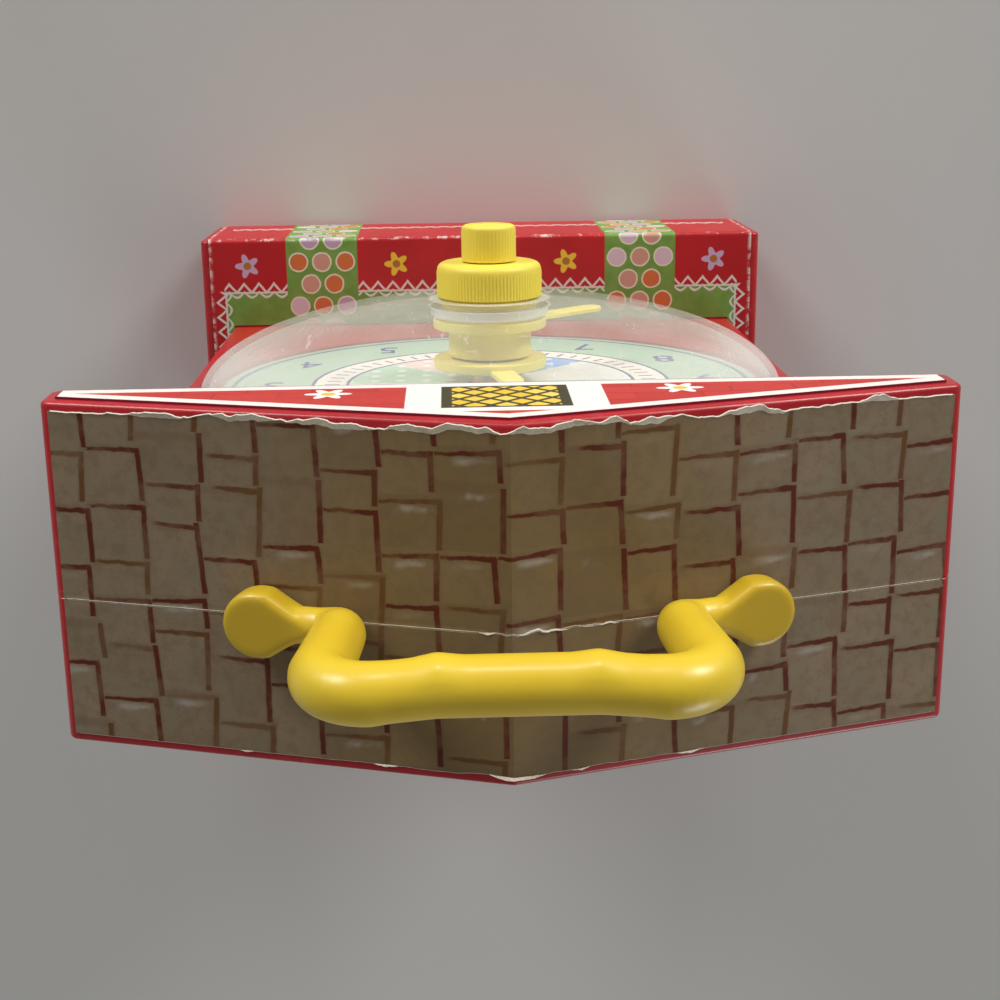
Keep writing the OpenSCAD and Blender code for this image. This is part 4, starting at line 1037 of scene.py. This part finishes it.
settingKnob = ribbedKnob("settingKnob", settingSpec)
dress(settingKnob, knobPlastic, "minute", "yellow_plastic", "setting_knob")
windingKnob = ribbedKnob("windingKnob", windingSpec)
dress(windingKnob, knobPlastic, "winding", "yellow_plastic", "winding_knob")
print("knobs ready")


# hands under the dome

hands = dict(hubR=13, hubT=2.2, columnR=9.5, width=5.4, thick=1.0, edge=0.35, edgeSegments=3, tipAbove=10,
             tipShare=2.05, tipSegments=10, overlap=0.2, sides=72, smooth=32,
             minute=dict(turn=230, long=38, frontY=-25.5, columnEnd=-16.9),
             hour=dict(turn=349, long=27, frontY=-16.3, columnEnd=None))


def disc(r, y0, y1):
    only(camera)
    bpy.ops.mesh.primitive_cylinder_add(vertices=hands["sides"], radius=r * mm, depth=(y1 - y0) * mm,
                                        location=(0, (y0 + y1) / 2 * mm, case["dialZ"] * mm),
                                        rotation=(math.pi / 2, 0, 0))
    obj = bpy.context.active_object
    settle(obj)
    return obj


def handPiece(name, spec):
    backY = spec["frontY"] + hands["hubT"]
    obj = disc(hands["hubR"], spec["frontY"], backY)
    obj.name = name
    roundEdges(obj, lambda e: bent(e, 60), hands["edge"], hands["edgeSegments"])
    only(camera)
    bpy.ops.mesh.primitive_cube_add(size=1)
    blade = bpy.context.active_object
    bladeL = spec["long"] - hands["width"] / 2
    blade.scale = Vector((hands["width"], hands["thick"], bladeL)) * mm
    blade.location = Vector((0, -hands["thick"] / 2, bladeL / 2)) * mm
    settle(blade)
    edit(blade)
    # round the tip, then the long edges
    pick("edges", lambda e: all(v.co.z / mm > hands["tipAbove"] for v in e.verts)
         and abs(e.verts[0].co.y - e.verts[1].co.y) > tiny * mm)
    bpy.ops.mesh.bevel(offset=hands["width"] / hands["tipShare"] * mm, segments=hands["tipSegments"],
                       affect="EDGES")
    pick("edges", lambda e: near(e, 1, -hands["thick"]) and bent(e, 60))
    bpy.ops.mesh.bevel(offset=hands["edge"] * mm, segments=hands["edgeSegments"], affect="EDGES")
    leave()
    blade.rotation_euler = (0, math.radians(spec["turn"]), 0)
    blade.location = Vector((0, backY, case["dialZ"])) * mm
    settle(blade)
    parts = [blade]
    if spec["columnEnd"] is not None:
        parts.append(disc(hands["columnR"], backY - hands["overlap"], spec["columnEnd"]))
    for part in parts:
        modify(obj, "BOOLEAN", operation="UNION", object=part, solver="EXACT")
        bpy.data.objects.remove(part)
    smooth(obj, hands["smooth"])
    return obj


minuteHand = handPiece("minuteHand", hands["minute"])
dress(minuteHand, handPlastic, "minute", "yellow_plastic", "minute_hand")
hourHand = handPiece("hourHand", hands["hour"])
dress(hourHand, handPlastic, "hour", "yellow_plastic", "hour_hand")
print("hands ready")


# clear dome: half an ellipsoid with a rim, and a collar round the knob's stem

domeSpec = dict(r=66.5, h=20.5, wall=1.6, bore=10.85, rim=0.7, segments=128, rings=96, collarR=13.45,
                collarEnd=-26.1, collarOver=1.0, boreSpare=2, collarEdge=0.5)


def domePiece():
    only(camera)
    bpy.ops.mesh.primitive_uv_sphere_add(segments=domeSpec["segments"], ring_count=domeSpec["rings"],
                                         radius=1, rotation=(math.pi / 2, 0, 0))
    obj = bpy.context.active_object
    obj.name = "clearDome"
    settle(obj)
    obj.scale = Vector((domeSpec["r"], domeSpec["h"], domeSpec["r"])) * mm
    obj.location = Vector((0, case["wallY"], case["dialZ"])) * mm
    settle(obj)
    edit(obj)
    pickAll()
    bpy.ops.mesh.bisect(plane_co=(0, case["wallY"] * mm, 0), plane_no=(0, 1, 0), clear_outer=True)
    topY = case["wallY"] - domeSpec["h"] * math.sqrt(1 - (domeSpec["bore"] / domeSpec["r"]) ** 2)
    pickAll()
    bpy.ops.mesh.bisect(plane_co=(0, topY * mm, 0), plane_no=(0, 1, 0), clear_inner=True)
    # rim let into the wall's groove
    pick("edges", lambda e: e.is_boundary and near(e, 1, case["wallY"], 0.2))
    push(0, domeSpec["rim"])
    leave()
    outward(obj)
    modify(obj, "SOLIDIFY", thickness=domeSpec["wall"] * mm, offset=-1, use_even_offset=True)
    collarEnd, spare = domeSpec["collarEnd"], domeSpec["boreSpare"]
    collar = disc(domeSpec["collarR"], topY + domeSpec["collarOver"], collarEnd)
    bore = disc(domeSpec["bore"], topY - spare, collarEnd + spare)
    modify(collar, "BOOLEAN", operation="DIFFERENCE", object=bore, solver="EXACT")
    roundEdges(collar, lambda e: bent(e, 60) and near(e, 1, collarEnd, 0.05), domeSpec["collarEdge"], 3)
    bpy.data.objects.remove(bore)
    modify(obj, "BOOLEAN", operation="UNION", object=collar, solver="EXACT")
    bpy.data.objects.remove(collar)
    smooth(obj)
    return obj


clearDome = domePiece()
dress(clearDome, clearPlastic, "case", "clear_plastic", "dome")
print("dome ready")


# plain numbers on the dial

numbers = dict(ring=50.5, size=11.5, thick=0.05, y=-10.28, weld=1e-6)


def numberPiece():
    made = []
    for hour in range(1, 13):
        only(camera)
        bpy.ops.object.text_add(rotation=(math.pi / 2, 0, 0))
        obj = bpy.context.active_object
        obj.data.body = str(hour)
        obj.data.align_x, obj.data.align_y = "CENTER", "CENTER"
        obj.data.size = numbers["size"]  # filled at a large scale, then shrunk
        bpy.ops.object.convert(target="MESH")
        obj = bpy.context.active_object
        a = math.pi / 6 * hour
        obj.scale = (mm, mm, mm)
        obj.location = Vector((numbers["ring"] * math.sin(a), numbers["y"],
                               case["dialZ"] + numbers["ring"] * math.cos(a))) * mm
        settle(obj)
        made.append(obj)
    obj = join(*made)
    obj.name = "dialNumbers"
    edit(obj)
    pickAll()
    bpy.ops.mesh.remove_doubles(threshold=numbers["weld"])
    leave()
    modify(obj, "SOLIDIFY", thickness=numbers["thick"] * mm, offset=0)
    outward(obj)
    return obj


dialNumbers = numberPiece()
dress(dialNumbers, numberInk, "case", "dial_print")
print("numbers ready")


# pieces whose CAD shape is shown as it is

bySlot = {"red_plastic": redPlastic, "yellow_plastic": yellowPlastic, "clear_plastic": clearPlastic,
          "dial_print": dialPaper, "roof_print": roofPaper, "garden_print": gardenPaper, "steel": steel,
          "cast_bracket": castBracket, "brass": brass, "dark_plastic": darkPlastic}
byNode = {"pediment_label": gablePaper, "side_label_left": sidePaper, "side_label_right": sidePaper}
for part in frame["record"]["subparts"]:
    obj = frame["nodes"][part["node"]]
    finish = byNode.get(part["node"]) or bySlot.get(part["material_slot"])
    obj.data.materials.clear()
    obj.data.materials.append(finish)
print("carried-over pieces ready")

size = {"cad": [list(v) for v in cadBox], "visual": [list(v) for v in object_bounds()]}
